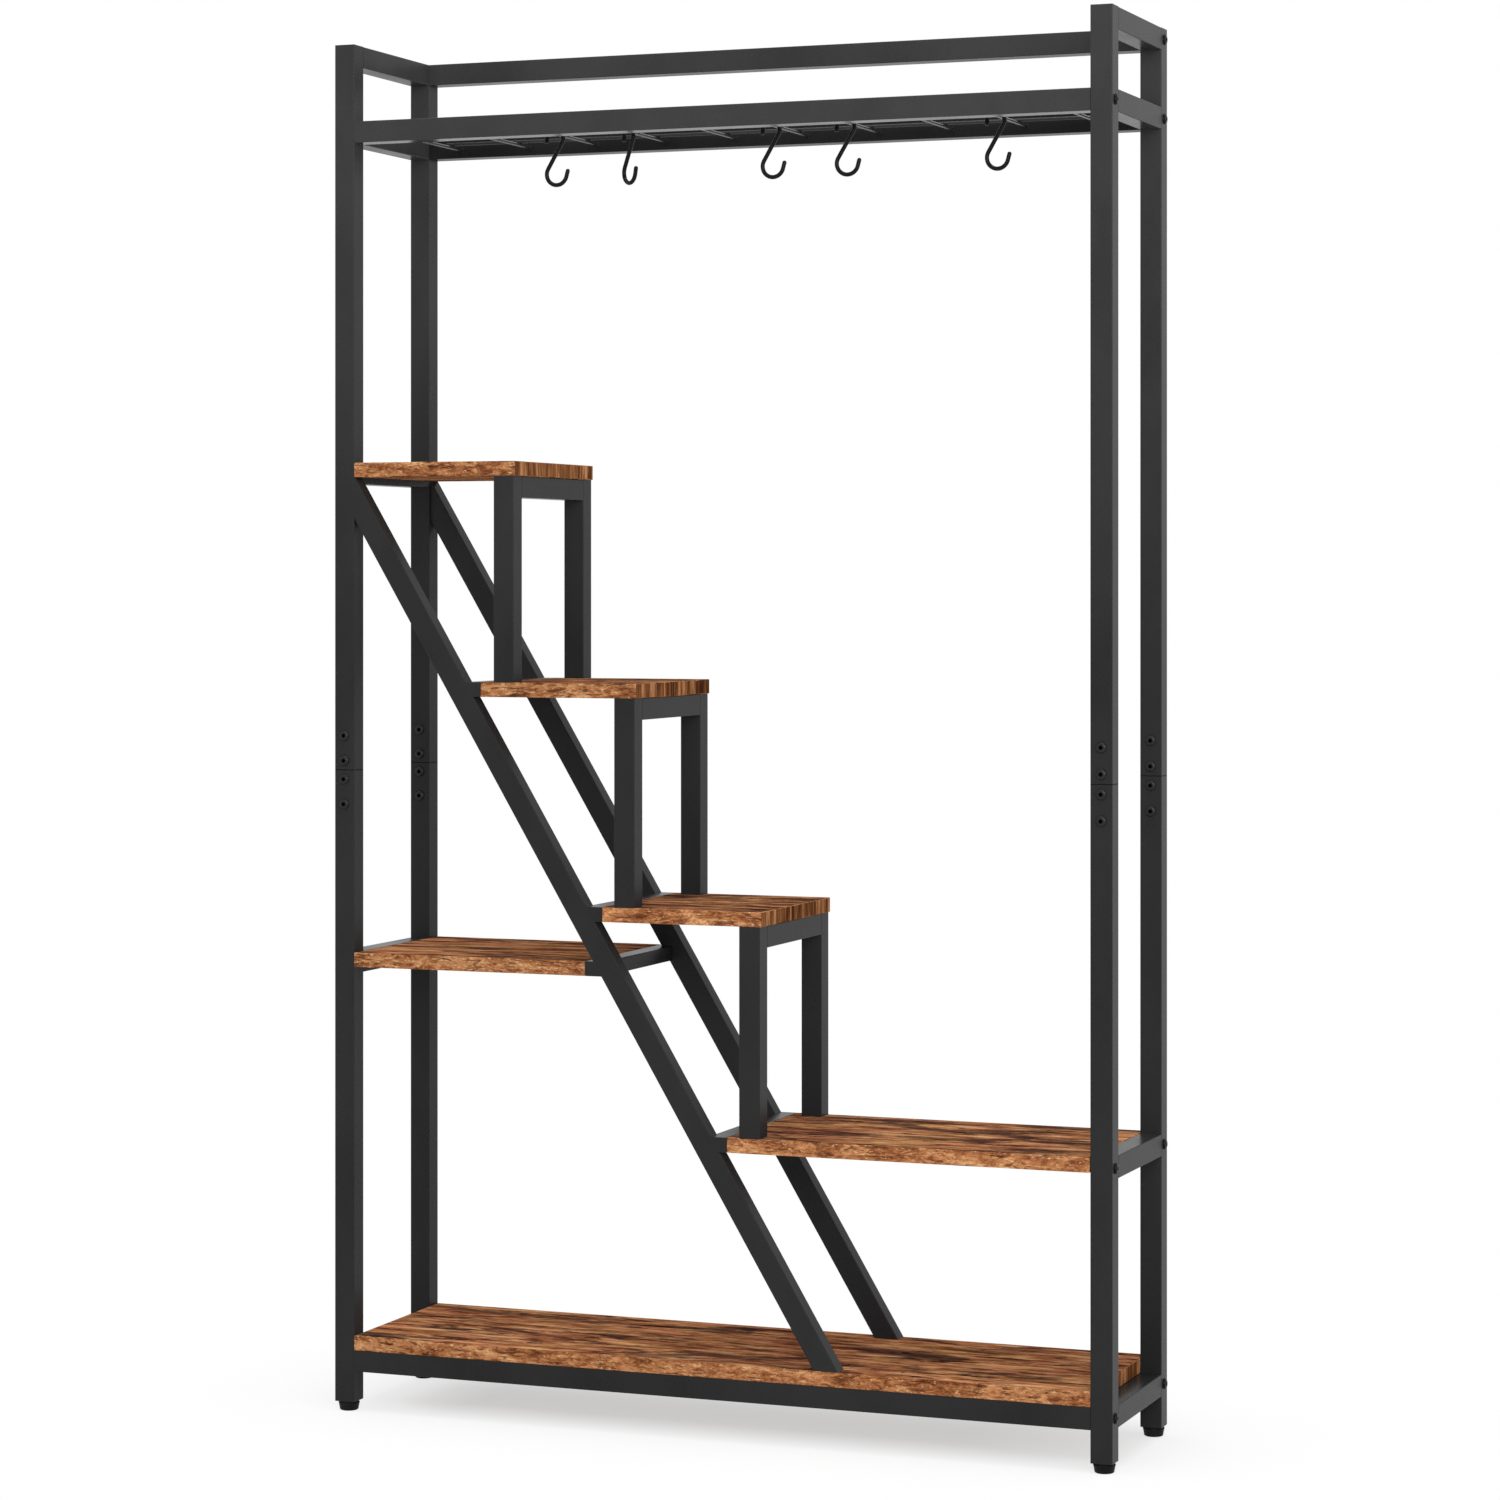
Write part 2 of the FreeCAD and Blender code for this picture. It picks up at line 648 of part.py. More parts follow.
def long_wires():
    """Wires that lie on the cross wires and run a little past the outer ones."""
    start_x = CROSS_WIRE_PLACES[0] - LONG_WIRE_OVERHANG
    length = CROSS_WIRE_PLACES[-1] + LONG_WIRE_OVERHANG - start_x
    return [rod(V(start_x, y, LONG_WIRE_Z), AXIS_X, length, WIRE_RADIUS)
            for y in spread(INNER_FRONT_Y, INNER_DEPTH, LONG_WIRE_COUNT)]


def on_circle(centre, radius, angle):
    """Point of an upright circle, by its angle from +X towards +Z."""
    turn = math.radians(angle)
    return V(centre.x + radius * math.cos(turn), 0, centre.z + radius * math.sin(turn))


def bend(start, centre, radius, turn):
    """Bent stretch of hook wire, turned from its start about a centre."""
    radial = start - centre
    tangent = radial.cross(AXIS_Y)
    section = Part.Face(Part.Wire(Part.makeCircle(HOOK_WIRE_RADIUS, start, tangent)))
    return section.revolve(centre, AXIS_Y * -1, turn)


def hook_shape():
    """S-hook in the XZ plane, with its cross wire's centre at the origin."""
    crown_z = WIRE_RADIUS + HOOK_SEAT_GAP + HOOK_WIRE_RADIUS
    upper = V(0, 0, crown_z - HOOK_UPPER_RADIUS)
    lower = V(HOOK_LOWER_SHIFT, 0, HOOK_LOWER_RADIUS + HOOK_WIRE_RADIUS - HOOK_REACH)
    between = lower - upper
    lean = math.degrees(math.atan2(between.z, between.x))
    lean += math.degrees(math.acos((HOOK_UPPER_RADIUS + HOOK_LOWER_RADIUS) / between.Length))
    shank_top = on_circle(upper, HOOK_UPPER_RADIUS, lean)
    shank_foot = on_circle(lower, HOOK_LOWER_RADIUS, lean + 180)
    upper_end = on_circle(upper, HOOK_UPPER_RADIUS, 180)
    lower_end = on_circle(lower, HOOK_LOWER_RADIUS, -HOOK_FLARE)
    upper_tip = upper_end - AXIS_Z * HOOK_UPPER_TAIL
    lower_tip = lower_end + on_circle(V(0, 0, 0), HOOK_LOWER_TAIL, 90 - HOOK_FLARE)
    shank = shank_foot - shank_top
    flare = lower_tip - lower_end
    return rod(upper_tip, AXIS_Z, HOOK_UPPER_TAIL, HOOK_WIRE_RADIUS).fuse([
        bend(upper_end, upper, HOOK_UPPER_RADIUS, lean - 180),
        rod(shank_top, shank, shank.Length, HOOK_WIRE_RADIUS),
        bend(shank_foot, lower, HOOK_LOWER_RADIUS, 180 - HOOK_FLARE - lean),
        rod(lower_end, flare, flare.Length, HOOK_WIRE_RADIUS),
    ])


def hook(wire_number, yaw, setback):
    """S-hook of round wire over one cross wire, turned by its yaw about the vertical."""
    shape = hook_shape()
    place = V(CROSS_WIRE_PLACES[wire_number - 1], FRONT_Y + setback, CROSS_WIRE_Z)
    shape.Placement = FreeCAD.Placement(place, FreeCAD.Rotation(AXIS_Z, yaw))
    return shape


# Levelling feet

def foot_insert(x, y):
    """Plug in the lower end of an upright, with the stud's hole through it."""
    shape = plug(V(x, y, FOOT_HEIGHT), V(TUBE, TUBE, FOOT_INSERT_LENGTH), AXIS_Z)
    centre = V(x + TUBE / 2, y + TUBE / 2, FOOT_HEIGHT - OVERRUN)
    return shape.cut(rod(centre, AXIS_Z, FOOT_INSERT_LENGTH + 2 * OVERRUN, STUD_RADIUS + STUD_FIT))


def foot(x, y):
    """Tapered round pad with a rounded lower edge, a collar and a threaded stud."""
    collar_top = FOOT_HEIGHT - FOOT_GAP
    pad_top = collar_top - FOOT_COLLAR_HEIGHT
    stud_top = collar_top + STUD_LENGTH
    outline = [
        V(0, 0, 0),
        V(FOOT_BOTTOM_RADIUS - FOOT_EDGE, 0, 0),
        V(FOOT_BOTTOM_RADIUS, 0, FOOT_EDGE),
        V(FOOT_TOP_RADIUS, 0, pad_top),
        V(FOOT_COLLAR_RADIUS, 0, pad_top),
        V(FOOT_COLLAR_RADIUS, 0, collar_top),
        V(STUD_RADIUS, 0, collar_top),
        V(STUD_RADIUS, 0, stud_top),
        V(0, 0, stud_top),
        V(0, 0, 0),
    ]
    shape = Part.Face(Part.makePolygon(outline)).revolve(V(0, 0, 0), AXIS_Z, 360)
    shape.translate(V(x + TUBE / 2, y + TUBE / 2, 0))
    return shape


def corners():
    """Side, plane, X and Y of the four uprights."""
    return [(side, plane, x, y)
            for side, x in (("left", LEFT_X), ("right", INNER_RIGHT_X))
            for plane, y in TUBE_PLANES.items()]


# Assembly

def assembly():
    """Every sub-part by name, as a shape or a list of separate solids."""
    parts = uprights()
    for name, (side, low_z) in SIDE_CROSSBARS.items():
        parts[name] = side_crossbar(side, low_z)
    for name, (plane, low_z) in RAILS.items():
        parts[name] = rail(plane, low_z)
    for plane, y in STRINGER_PLANES.items():
        parts[plane + "_stringer"] = stringer(y)
    for name, (left_x, top_z, _) in STEP_BARS.items():
        parts[name] = step_crossbar(left_x, top_z)
    for name, (right_x, low_z, high_z) in LEGS.items():
        parts[name + "_posts"] = leg_posts(right_x, low_z, high_z)
        parts[name + "_rail"] = leg_rail(right_x, high_z)
    for name, (left_x, right_x, top_z) in BOARDS.items():
        parts[name] = board(left_x, right_x, top_z)
    parts["grid_cross_wires"] = cross_wires()
    parts["grid_long_wires"] = long_wires()
    for number, (wire_number, yaw, setback) in enumerate(HOOK_PLACES, 1):
        parts["hook_" + str(number)] = hook(wire_number, yaw, setback)
    for side, plane, x, y in corners():
        parts[side + "_" + plane + "_foot"] = foot(x, y)
    parts["foot_inserts"] = [foot_insert(x, y) for _, _, x, y in corners()]
    parts["top_plugs"] = top_plugs()
    parts["upright_couplers"] = couplers()
    parts["seam_screws"] = seam_screws()
    parts["side_bolts"] = side_bolts()
    parts["rail_inserts"] = rail_inserts()
    parts["board_bushes"] = board_bushes()
    parts["underside_screws"] = underside_screws()
    parts["step_pins"] = step_pins()
    return parts


def export(name, part):
    """Write one sub-part to its STEP file."""
    shape = Part.makeCompound(part) if isinstance(part, list) else part
    shape.exportStep(os.path.join("parts", name + ".step"))


os.makedirs("parts", exist_ok=True)
for part_name, part_shape in assembly().items():
    export(part_name, part_shape)
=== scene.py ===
import math
from functools import cached_property

import bpy
from mathutils import Matrix, Vector


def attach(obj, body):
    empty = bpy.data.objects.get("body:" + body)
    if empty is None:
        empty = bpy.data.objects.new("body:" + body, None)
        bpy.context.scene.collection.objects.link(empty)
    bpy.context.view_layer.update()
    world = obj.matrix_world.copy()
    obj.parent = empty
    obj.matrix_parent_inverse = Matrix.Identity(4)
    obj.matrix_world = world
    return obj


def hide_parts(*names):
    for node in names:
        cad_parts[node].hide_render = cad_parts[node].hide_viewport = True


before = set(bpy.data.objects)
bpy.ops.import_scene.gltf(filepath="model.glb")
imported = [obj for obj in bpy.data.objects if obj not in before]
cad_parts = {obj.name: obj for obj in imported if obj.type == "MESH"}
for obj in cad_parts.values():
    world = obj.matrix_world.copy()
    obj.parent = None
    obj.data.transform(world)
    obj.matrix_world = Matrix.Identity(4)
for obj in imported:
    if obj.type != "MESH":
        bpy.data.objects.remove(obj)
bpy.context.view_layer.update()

# Lengths and places of the rack that this scene uses, in metres.
# X runs from left to right, Y from the front to the rear, Z up from the floor.
TUBE = 0.0265
LEFT_X = -0.5
RIGHT_X = 0.5
INNER_LEFT_X = LEFT_X + TUBE
FRONT_Y = -0.1185
REAR_Y = 0.1215
INNER_FRONT_Y = FRONT_Y + TUBE
INNER_REAR_Y = REAR_Y - TUBE
INNER_DEPTH = INNER_REAR_Y - INNER_FRONT_Y
SIDE_CENTRES = {"left": LEFT_X + TUBE / 2, "right": RIGHT_X - TUBE / 2}
PLANE_CENTRES = {"front": FRONT_Y + TUBE / 2, "rear": INNER_REAR_Y + TUBE / 2}
SEAM_Z = 0.7955
SEAM_HALF_GAP = 0.0005

# Hanging grid
WIRE_RADIUS = 0.002
CROSS_WIRE_Z = 1.583
LONG_WIRE_Z = 1.587
CROSS_WIRE_STEP = 0.0947
CROSS_WIRE_COUNT = 10
LONG_WIRE_COUNT = 3
LONG_WIRE_OVERHANG = 0.008
CROSS_WIRE_XS = [INNER_LEFT_X + CROSS_WIRE_STEP * (number + 0.5)
                 for number in range(CROSS_WIRE_COUNT)]
LONG_WIRE_YS = [INNER_FRONT_Y + INNER_DEPTH * (number + 0.5) / LONG_WIRE_COUNT
                for number in range(LONG_WIRE_COUNT)]


# Node graphs

class Graph:
    """Node tree of a material or of the world, with short ways to add and join nodes."""

    def __init__(self, owner, output_kind="ShaderNodeOutputMaterial"):
        self.owner = owner
        owner.use_nodes = True
        self.tree = owner.node_tree
        self.tree.nodes.clear()
        self.output = self.add(output_kind)

    @cached_property
    def coordinates(self):
        """Texture Coordinate node, added when it is first used."""
        return self.add("ShaderNodeTexCoord")

    def add(self, kind, **settings):
        node = self.tree.nodes.new(kind)
        for key, value in settings.items():
            setattr(node, key, value)
        return node

    def join(self, source, socket):
        """Feed a socket from another socket, or set it to a value or a colour."""
        if isinstance(source, bpy.types.NodeSocket):
            self.tree.links.new(source, socket)
        elif socket.type == "RGBA":
            socket.default_value = (*source, 1.0)
        else:
            socket.default_value = source

    def math(self, operation, *values):
        node = self.add("ShaderNodeMath", operation=operation)
        for value, socket in zip(values, node.inputs):
            self.join(value, socket)
        return node.outputs[0]

    def blend(self, first, first_share, second, second_share):
        """Sum of two values, each times its share."""
        return self.math("ADD", self.math("MULTIPLY", first, first_share),
                         self.math("MULTIPLY", second, second_share))

    def axes(self, kind):
        """X, Y and Z of the object coordinates or of the normal."""
        split = self.add("ShaderNodeSeparateXYZ")
        self.join(self.coordinates.outputs[kind], split.inputs[0])
        return split.outputs

    def stretched(self, scale, offset=(0, 0, 0)):
        """Object coordinates, moved and then stretched along the three axes."""
        moved = self.add("ShaderNodeVectorMath", operation="ADD")
        self.join(self.coordinates.outputs["Object"], moved.inputs[0])
        moved.inputs[1].default_value = offset
        scaled = self.add("ShaderNodeVectorMath", operation="MULTIPLY")
        self.join(moved.outputs[0], scaled.inputs[0])
        scaled.inputs[1].default_value = scale
        return scaled.outputs[0]

    def noise(self, scale, offset=(0, 0, 0), detail=4.0, roughness=0.55, distortion=0.0):
        node = self.add("ShaderNodeTexNoise")
        self.join(self.stretched(scale, offset), node.inputs["Vector"])
        node.inputs["Scale"].default_value = 1.0
        node.inputs["Detail"].default_value = detail
        node.inputs["Roughness"].default_value = roughness
        node.inputs["Distortion"].default_value = distortion
        return node.outputs["Fac"]

    def ramp(self, value, stops):
        """Colour ramp through stops of position and linear colour."""
        node = self.add("ShaderNodeValToRGB")
        elements = node.color_ramp.elements
        while len(elements) < len(stops):
            elements.new(0.5)
        for element, (position, colour) in zip(elements, stops):
            element.position = position
            element.color = (*colour, 1.0)
        self.join(value, node.inputs["Fac"])
        return node.outputs["Color"]

    def level(self, value, low, high, start=0.0, end=1.0):
        """Value turned from the range low to high into the range start to end."""
        node = self.add("ShaderNodeMapRange")
        self.join(value, node.inputs["Value"])
        node.inputs["From Min"].default_value = low
        node.inputs["From Max"].default_value = high
        node.inputs["To Min"].default_value = start
        node.inputs["To Max"].default_value = end
        return node.outputs["Result"]

    def mix(self, share, first, second, blend_type="MIX"):
        node = self.add("ShaderNodeMix", data_type="RGBA", blend_type=blend_type)
        self.join(share, node.inputs["Factor"])
        self.join(first, node.inputs["A"])
        self.join(second, node.inputs["B"])
        return node.outputs["Result"]

    def tinted(self, colour, tint):
        return self.mix(1.0, colour, tint, "MULTIPLY")

    def patched(self, colour, mask, low, high, strength, patch):
        """Colour with patches of another where a mask rises from low to high."""
        share = self.math("MULTIPLY", self.level(mask, low, high), strength)
        return self.mix(share, colour, patch)

    def bump(self, height, distance, strength):
        node = self.add("ShaderNodeBump")
        node.inputs["Strength"].default_value = strength
        node.inputs["Distance"].default_value = distance
        self.join(height, node.inputs["Height"])
        return node.outputs["Normal"]

    def shade(self, colour, roughness, normal, **settings):
        """Principled shader on the output, with uniform settings on its own sockets."""
        shader = self.add("ShaderNodeBsdfPrincipled")
        self.join(colour, shader.inputs["Base Color"])
        self.join(roughness, shader.inputs["Roughness"])
        self.join(normal, shader.inputs["Normal"])
        for key, value in settings.items():
            shader.inputs[key.replace("_", " ")].default_value = value
        self.join(shader.outputs[0], self.output.inputs["Surface"])
        return self.owner

    def seen_directly(self):
        """1 for rays from the camera and from reflections and glass, otherwise 0."""
        path = self.add("ShaderNodeLightPath")
        seen = self.math("MAXIMUM", path.outputs["Is Camera Ray"], path.outputs["Is Glossy Ray"])
        return self.math("MAXIMUM", seen, path.outputs["Is Transmission Ray"])


def material_graph(name):
    return Graph(bpy.data.materials.new(name))


def grey(level):
    return (level, level, level)


# Metals and plastics

COAT_REFLECTION = 0.042
COAT_TINT = (1.0, 1.0, 1.03)
SEAM_COLOUR = grey(0.004)
SEAM_DEPTH = 4.0

# Painted light: the paint's colour grows paler between these heights, up to this many times, for
# more light towards the top of the rack
PAINTED_LIGHT_FROM_Z = 0.95
PAINTED_LIGHT_TO_Z = 1.70
PAINTED_LIGHT_GAIN = 1.85


def coat_colour(level):
    return tuple(level * share for share in COAT_TINT)


def powder_coat(name, dark, light, sheen_low, sheen_high, seam=False, reflection=COAT_REFLECTION):
    """Fine-grained black paint on steel, with painted light that makes it a little paler towards
    the top of the rack.
    """
    g = material_graph(name)
    cloud = g.noise((9, 9, 5), detail=3.0)
    grain = g.noise((900, 900, 900), detail=2.0)
    peel = g.noise((260, 260, 260), detail=2.0)
    tone = g.blend(cloud, 0.65, grain, 0.35)
    colour = g.ramp(tone, [(0.36, coat_colour(dark)), (0.64, coat_colour(light))])
    rough = g.level(g.blend(cloud, 0.7, peel, 0.3), 0.35, 0.65, sheen_low, sheen_high)
    height = g.math("ADD", g.math("MULTIPLY", grain, 0.4), peel)
    z = g.axes("Object")["Z"]
    # Painted light: the colour grows paler towards the top of the rack.
    colour = g.tinted(colour, g.level(z, PAINTED_LIGHT_FROM_Z, PAINTED_LIGHT_TO_Z, 1.0, PAINTED_LIGHT_GAIN))
    if seam:
        gap = g.math("COMPARE", z, SEAM_Z, SEAM_HALF_GAP)
        colour = g.mix(gap, colour, SEAM_COLOUR)
        rough = g.math("MAXIMUM", rough, gap)
        height = g.math("SUBTRACT", height, g.math("MULTIPLY", gap, SEAM_DEPTH))
    return g.shade(colour, rough, g.bump(height, 0.00012, 0.35), Specular_IOR_Level=reflection)


def moulded_plastic(name, dark, light):
    """Black plastic with a fine moulded grain."""
    g = material_graph(name)
    grain = g.noise((1400, 1400, 1400), detail=3.0)
    cloud = g.noise((60, 60, 60), detail=2.0)
    colour = g.ramp(cloud, [(0.35, grey(dark)), (0.65, grey(light))])
    rough = g.level(grain, 0.3, 0.7, 0.38, 0.6)
    return g.shade(colour, rough, g.bump(grain, 0.0001, 0.4), Specular_IOR_Level=0.08)


def blackened_steel(name, dark, light, rough_low, rough_high, reflection):
    """Dark oxide on turned or drawn steel, worn a little in places."""
    g = material_graph(name)
    marks = g.noise((700, 700, 700), detail=4.0, roughness=0.7)
    cloud = g.noise((150, 150, 150), detail=2.0)
    colour = g.ramp(g.math("MULTIPLY", g.math("ADD", marks, cloud), 0.5),
                    [(0.38, grey(dark)), (0.66, (light, light, light * 1.02))])
    rough = g.level(marks, 0.3, 0.7, rough_low, rough_high)
    return g.shade(colour, rough, g.bump(marks, 0.00006, 0.35), Specular_IOR_Level=reflection)


def bright_steel(name):
    """Zinc-plated steel with short scratches."""
    g = material_graph(name)
    marks = g.noise((80, 900, 900), detail=4.0)
    colour = g.ramp(marks, [(0.3, (0.42, 0.42, 0.44)), (0.7, (0.62, 0.61, 0.6))])
    rough = g.level(marks, 0.3, 0.7, 0.28, 0.5)
    return g.shade(colour, rough, g.bump(marks, 0.00005, 0.3), Metallic=1.0)


# Boards: an old-plank print with its own offset on each board

# How far the burnt smudges favour the front of a board, and over what depth
FRONT_BURN = 0.035
FRONT_BURN_DEPTH = 0.060

# Faces whose normal leans further along an axis than this belong to that axis
FACE_LIMIT = 0.8


def shifted(offset, x, y, z=0.0):
    """Offset of one noise, moved from the board's own offset so that no two noises line up."""
    return (offset[0] + x, offset[1] + y, offset[2] + z)


def streaked_face(g, offset, wear):
    """Colour, tone and grain of a top or underside: streaks along the board, smudges and gouges."""
    streaks = g.noise((8.5, 56, 0), offset, detail=9.0, roughness=0.74, distortion=0.3)
    fibres = g.noise((28, 300, 0), offset, detail=6.0, roughness=0.70)
    tone = g.blend(streaks, 0.66, fibres, 0.34)
    colour = g.ramp(tone, [
        (0.40, (0.070, 0.024, 0.015)),
        (0.45, (0.190, 0.074, 0.034)),
        (0.50, (0.350, 0.156, 0.070)),
        (0.55, (0.525, 0.270, 0.130)),
        (0.61, (0.710, 0.445, 0.245)),
    ])
    pale = g.noise((6, 36, 0), shifted(offset, 6.7, 3.9),
                   detail=8.0, roughness=0.66, distortion=0.4)
    pale_share = g.math("MULTIPLY", g.level(pale, 0.55, 0.62), g.level(tone, 0.42, 0.54, 0.1, 0.75))
    colour = g.mix(pale_share, colour, (0.620, 0.330, 0.150))
    stain = g.noise((8, 26, 0), shifted(offset, 11.9, 7.3),
                    detail=5.0, roughness=0.62, distortion=0.8)
    colour = g.tinted(colour, g.ramp(stain, [
        (0.42, (1.0, 0.83, 0.84)),
        (0.50, (1.0, 0.93, 0.90)),
        (0.60, (1.0, 0.98, 0.89)),
    ]))
    burnt = g.noise((6, 26, 0), shifted(offset, 3.1, 1.7),
                    detail=9.0, roughness=0.66, distortion=0.5)
    y = g.axes("Object")["Y"]
    near_front = g.level(y, FRONT_Y, FRONT_Y + FRONT_BURN_DEPTH, FRONT_BURN, 0.0)
    burnt_share = g.level(g.math("ADD", burnt, near_front), 0.525 - wear, 0.580 - wear)
    burnt_share = g.math("MULTIPLY", burnt_share, g.level(tone, 0.40, 0.58, 1.0, 0.60))
    colour = g.mix(burnt_share, colour, (0.036, 0.019, 0.019))
    gouges = g.noise((12, 78, 0), shifted(offset, 9.3, 5.1),
                     detail=8.0, roughness=0.68, distortion=0.6)
    colour = g.patched(colour, gouges, 0.570 - wear, 0.610 - wear, 0.92, (0.014, 0.008, 0.008))
    saw = g.noise((420, 26, 0), offset, detail=2.0)
    colour = g.mix(0.12, colour, g.ramp(saw, [(0.3, grey(0.3)), (0.7, grey(0.75))]), "OVERLAY")
    return colour, tone, g.blend(streaks, 0.6, fibres, 0.4)


def speckled_edge(g, offset):
    """Colour and tone of a long edge: blotches and speckles with flecks, chips and cracks."""
    blotches = g.noise((14, 14, 70), offset, detail=4.0, roughness=0.6, distortion=0.6)
    speckles = g.noise((95, 95, 210), offset, detail=5.0, roughness=0.72, distortion=0.7)
    tone = g.blend(blotches, 0.45, speckles, 0.55)
    colour = g.ramp(tone, [
        (0.39, (0.120, 0.038, 0.014)),
        (0.45, (0.230, 0.080, 0.030)),
        (0.50, (0.340, 0.136, 0.053)),
        (0.56, (0.470, 0.215, 0.092)),
        (0.63, (0.640, 0.370, 0.180)),
    ])
    flecks = g.noise((110, 110, 300), shifted(offset, 1.9, 0.0, 2.3), detail=4.0, roughness=0.7)
    colour = g.patched(colour, flecks, 0.595, 0.655, 0.8, (0.740, 0.500, 0.280))
    chips = g.noise((34, 34, 150), shifted(offset, 5.3, 0.0, 0.7),
                    detail=6.0, roughness=0.66, distortion=1.2)
    colour = g.patched(colour, chips, 0.555, 0.610, 0.8, (0.085, 0.026, 0.012))
    cracks = g.noise((26, 26, 330), shifted(offset, 8.1, 0.0, 4.9),
                     detail=5.0, roughness=0.6, distortion=0.9)
    colour = g.patched(colour, cracks, 0.600, 0.640, 0.85, (0.030, 0.012, 0.007))
    return colour, tone


def striped_end(g, offset):
    """Colour of a sawn end, with upright stripes."""
    blocks = g.noise((0, 52, 5), offset, detail=3.0, roughness=0.6, distortion=0.5)
    fine = g.noise((0, 240, 22), offset, detail=4.0, roughness=0.65, distortion=0.5)
    return g.ramp(g.blend(blocks, 0.62, fine, 0.38), [
        (0.40, (0.045, 0.016, 0.007)),
        (0.46, (0.115, 0.042, 0.016)),
        (0.53, (0.230, 0.094, 0.037)),
        (0.60, (0.430, 0.205, 0.092)),
    ])


def rustic_board(name, offset, top_painted_light, edge_painted_light, wear):
    """Old-plank print: streaked top and underside, speckled long edges, striped ends."""
    g = material_graph(name)
    normal = g.axes("Normal")
    is_end = g.math("GREATER_THAN", g.math("ABSOLUTE", normal["X"]), FACE_LIMIT)
    is_flat = g.math("GREATER_THAN", g.math("ABSOLUTE", normal["Z"]), FACE_LIMIT)
    face_colour, face_tone, face_grain = streaked_face(g, offset, wear)
    edge_colour, edge_tone = speckled_edge(g, offset)
    # Painted light and shade: the top and the edges are made lighter on some boards and darker on
    # others, for the light that falls on each.
    face_colour = g.tinted(face_colour, grey(top_painted_light))
    edge_colour = g.tinted(edge_colour, grey(edge_painted_light))
    colour = g.mix(is_flat, edge_colour, face_colour)
    colour = g.mix(is_end, colour, striped_end(g, offset))
    relief = g.blend(face_tone, is_flat, edge_tone, g.math("SUBTRACT", 1.0, is_flat))
    rough = g.level(face_grain, 0.3, 0.7, 0.88, 0.68)
    return g.shade(colour, rough, g.bump(relief, 0.0012, 0.35), Specular_IOR_Level=0.0)


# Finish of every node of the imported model

STEEL = powder_coat("black_powder_coat", 0.0175, 0.0245, 0.25, 0.33)
UPRIGHT_STEEL = powder_coat("black_powder_coat_upright", 0.0175, 0.0245, 0.25, 0.33, seam=True)
# Darker copy of the coat, with painted shade, for the rear grid rail and the weld spots
PAINTED_SHADE_STEEL = powder_coat("black_powder_coat_painted_shade", 0.0065, 0.0100, 0.27, 0.35)
RAIL_STEEL = powder_coat("black_powder_coat_rail", 0.0165, 0.0230, 0.22, 0.30, reflection=0.13)
WIRE_PAINT = powder_coat("black_wire_paint", 0.010, 0.015, 0.20, 0.28, reflection=0.22)
HOOK_STEEL = blackened_steel("black_hook_finish", 0.003, 0.007, 0.20, 0.32, 0.12)
# Darker copy of the screws' oxide, painting shade onto the side bolts
BOLT_STEEL_PAINTED_SHADE = blackened_steel("black_bolt_oxide_painted_shade", 0.0015, 0.004, 0.22, 0.32, 0.11)
SCREW_STEEL = blackened_steel("black_screw_oxide", 0.007, 0.013, 0.24, 0.34, 0.22)
# Painted shade: near-black, unreflecting walls and floor of the hex sockets, for the shade in these
# recesses
SOCKET_PAINTED_SHADE = blackened_steel("socket_wall_painted_shade", 0.0008, 0.0020, 0.50, 0.62, 0.0)
PLATED_STEEL = bright_steel("bright_plated_steel")
FOOT_PLASTIC = moulded_plastic("black_foot_plastic", 0.0050, 0.0095)
PLUG_PLASTIC = moulded_plastic("black_plug_plastic", 0.008, 0.014)

# Each board's offset of the print, painted light on its top, painted light on its edges, and wear
BOARD_PRINTS = {
    "floor_board": ((0.0, 0.0, 0.0), 1.18, 0.95, 0.004),
    "low_step_board": ((2.3, 0.9, 0.4), 0.97, 1.0, 0.014),
    "second_step_board": ((4.7, 2.1, 0.9), 0.92, 1.0, 0.030),
    "third_step_board": ((7.9, 3.3, 1.6), 1.02, 0.84, 0.024),
    "top_step_board": ((11.2, 4.8, 2.2), 0.95, 0.95, 0.010),
    "side_shelf_board": ((14.6, 6.1, 2.9), 1.25, 0.88, 0.0),
}
BY_NAME = {
    "front_grid_rail": RAIL_STEEL,
    "rear_grid_rail": PAINTED_SHADE_STEEL,
    "grid_cross_wires": WIRE_PAINT,
    "grid_long_wires": WIRE_PAINT,
    "side_bolts": BOLT_STEEL_PAINTED_SHADE,
    "seam_screws": SCREW_STEEL,
    "underside_screws": PLATED_STEEL,
    "board_bushes": PLATED_STEEL,
    "step_pins": PLATED_STEEL,
    "upright_couplers": PLATED_STEEL,
    "rail_inserts": PLATED_STEEL,
    "foot_inserts": PLUG_PLASTIC,
    "top_plugs": PLUG_PLASTIC,
}


def finish_for(name):
    """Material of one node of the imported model."""
    if name in BOARD_PRINTS:
        return rustic_board(name + "_print", *BOARD_PRINTS[name])
    if name in BY_NAME:
        return BY_NAME[name]
    if "_upright_" in name:
        return UPRIGHT_STEEL
    if name.startswith("hook_"):
        return HOOK_STEEL
    if name.endswith("_foot"):
        return FOOT_PLASTIC
    return STEEL


for node_name, node_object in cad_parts.items():
    node_object.data.materials.clear()
    node_object.data.materials.append(finish_for(node_name))


# Turned pieces: rings of points round an axis, each ring with its height and outline

SEGMENTS = 72


def round_ring(radius):
    return lambda angle: radius


def hex_ring(apothem):
    """Six-sided outline."""
    return lambda angle: apothem / math.cos((angle + math.pi / 6) % (math.pi / 3) - math.pi / 6)


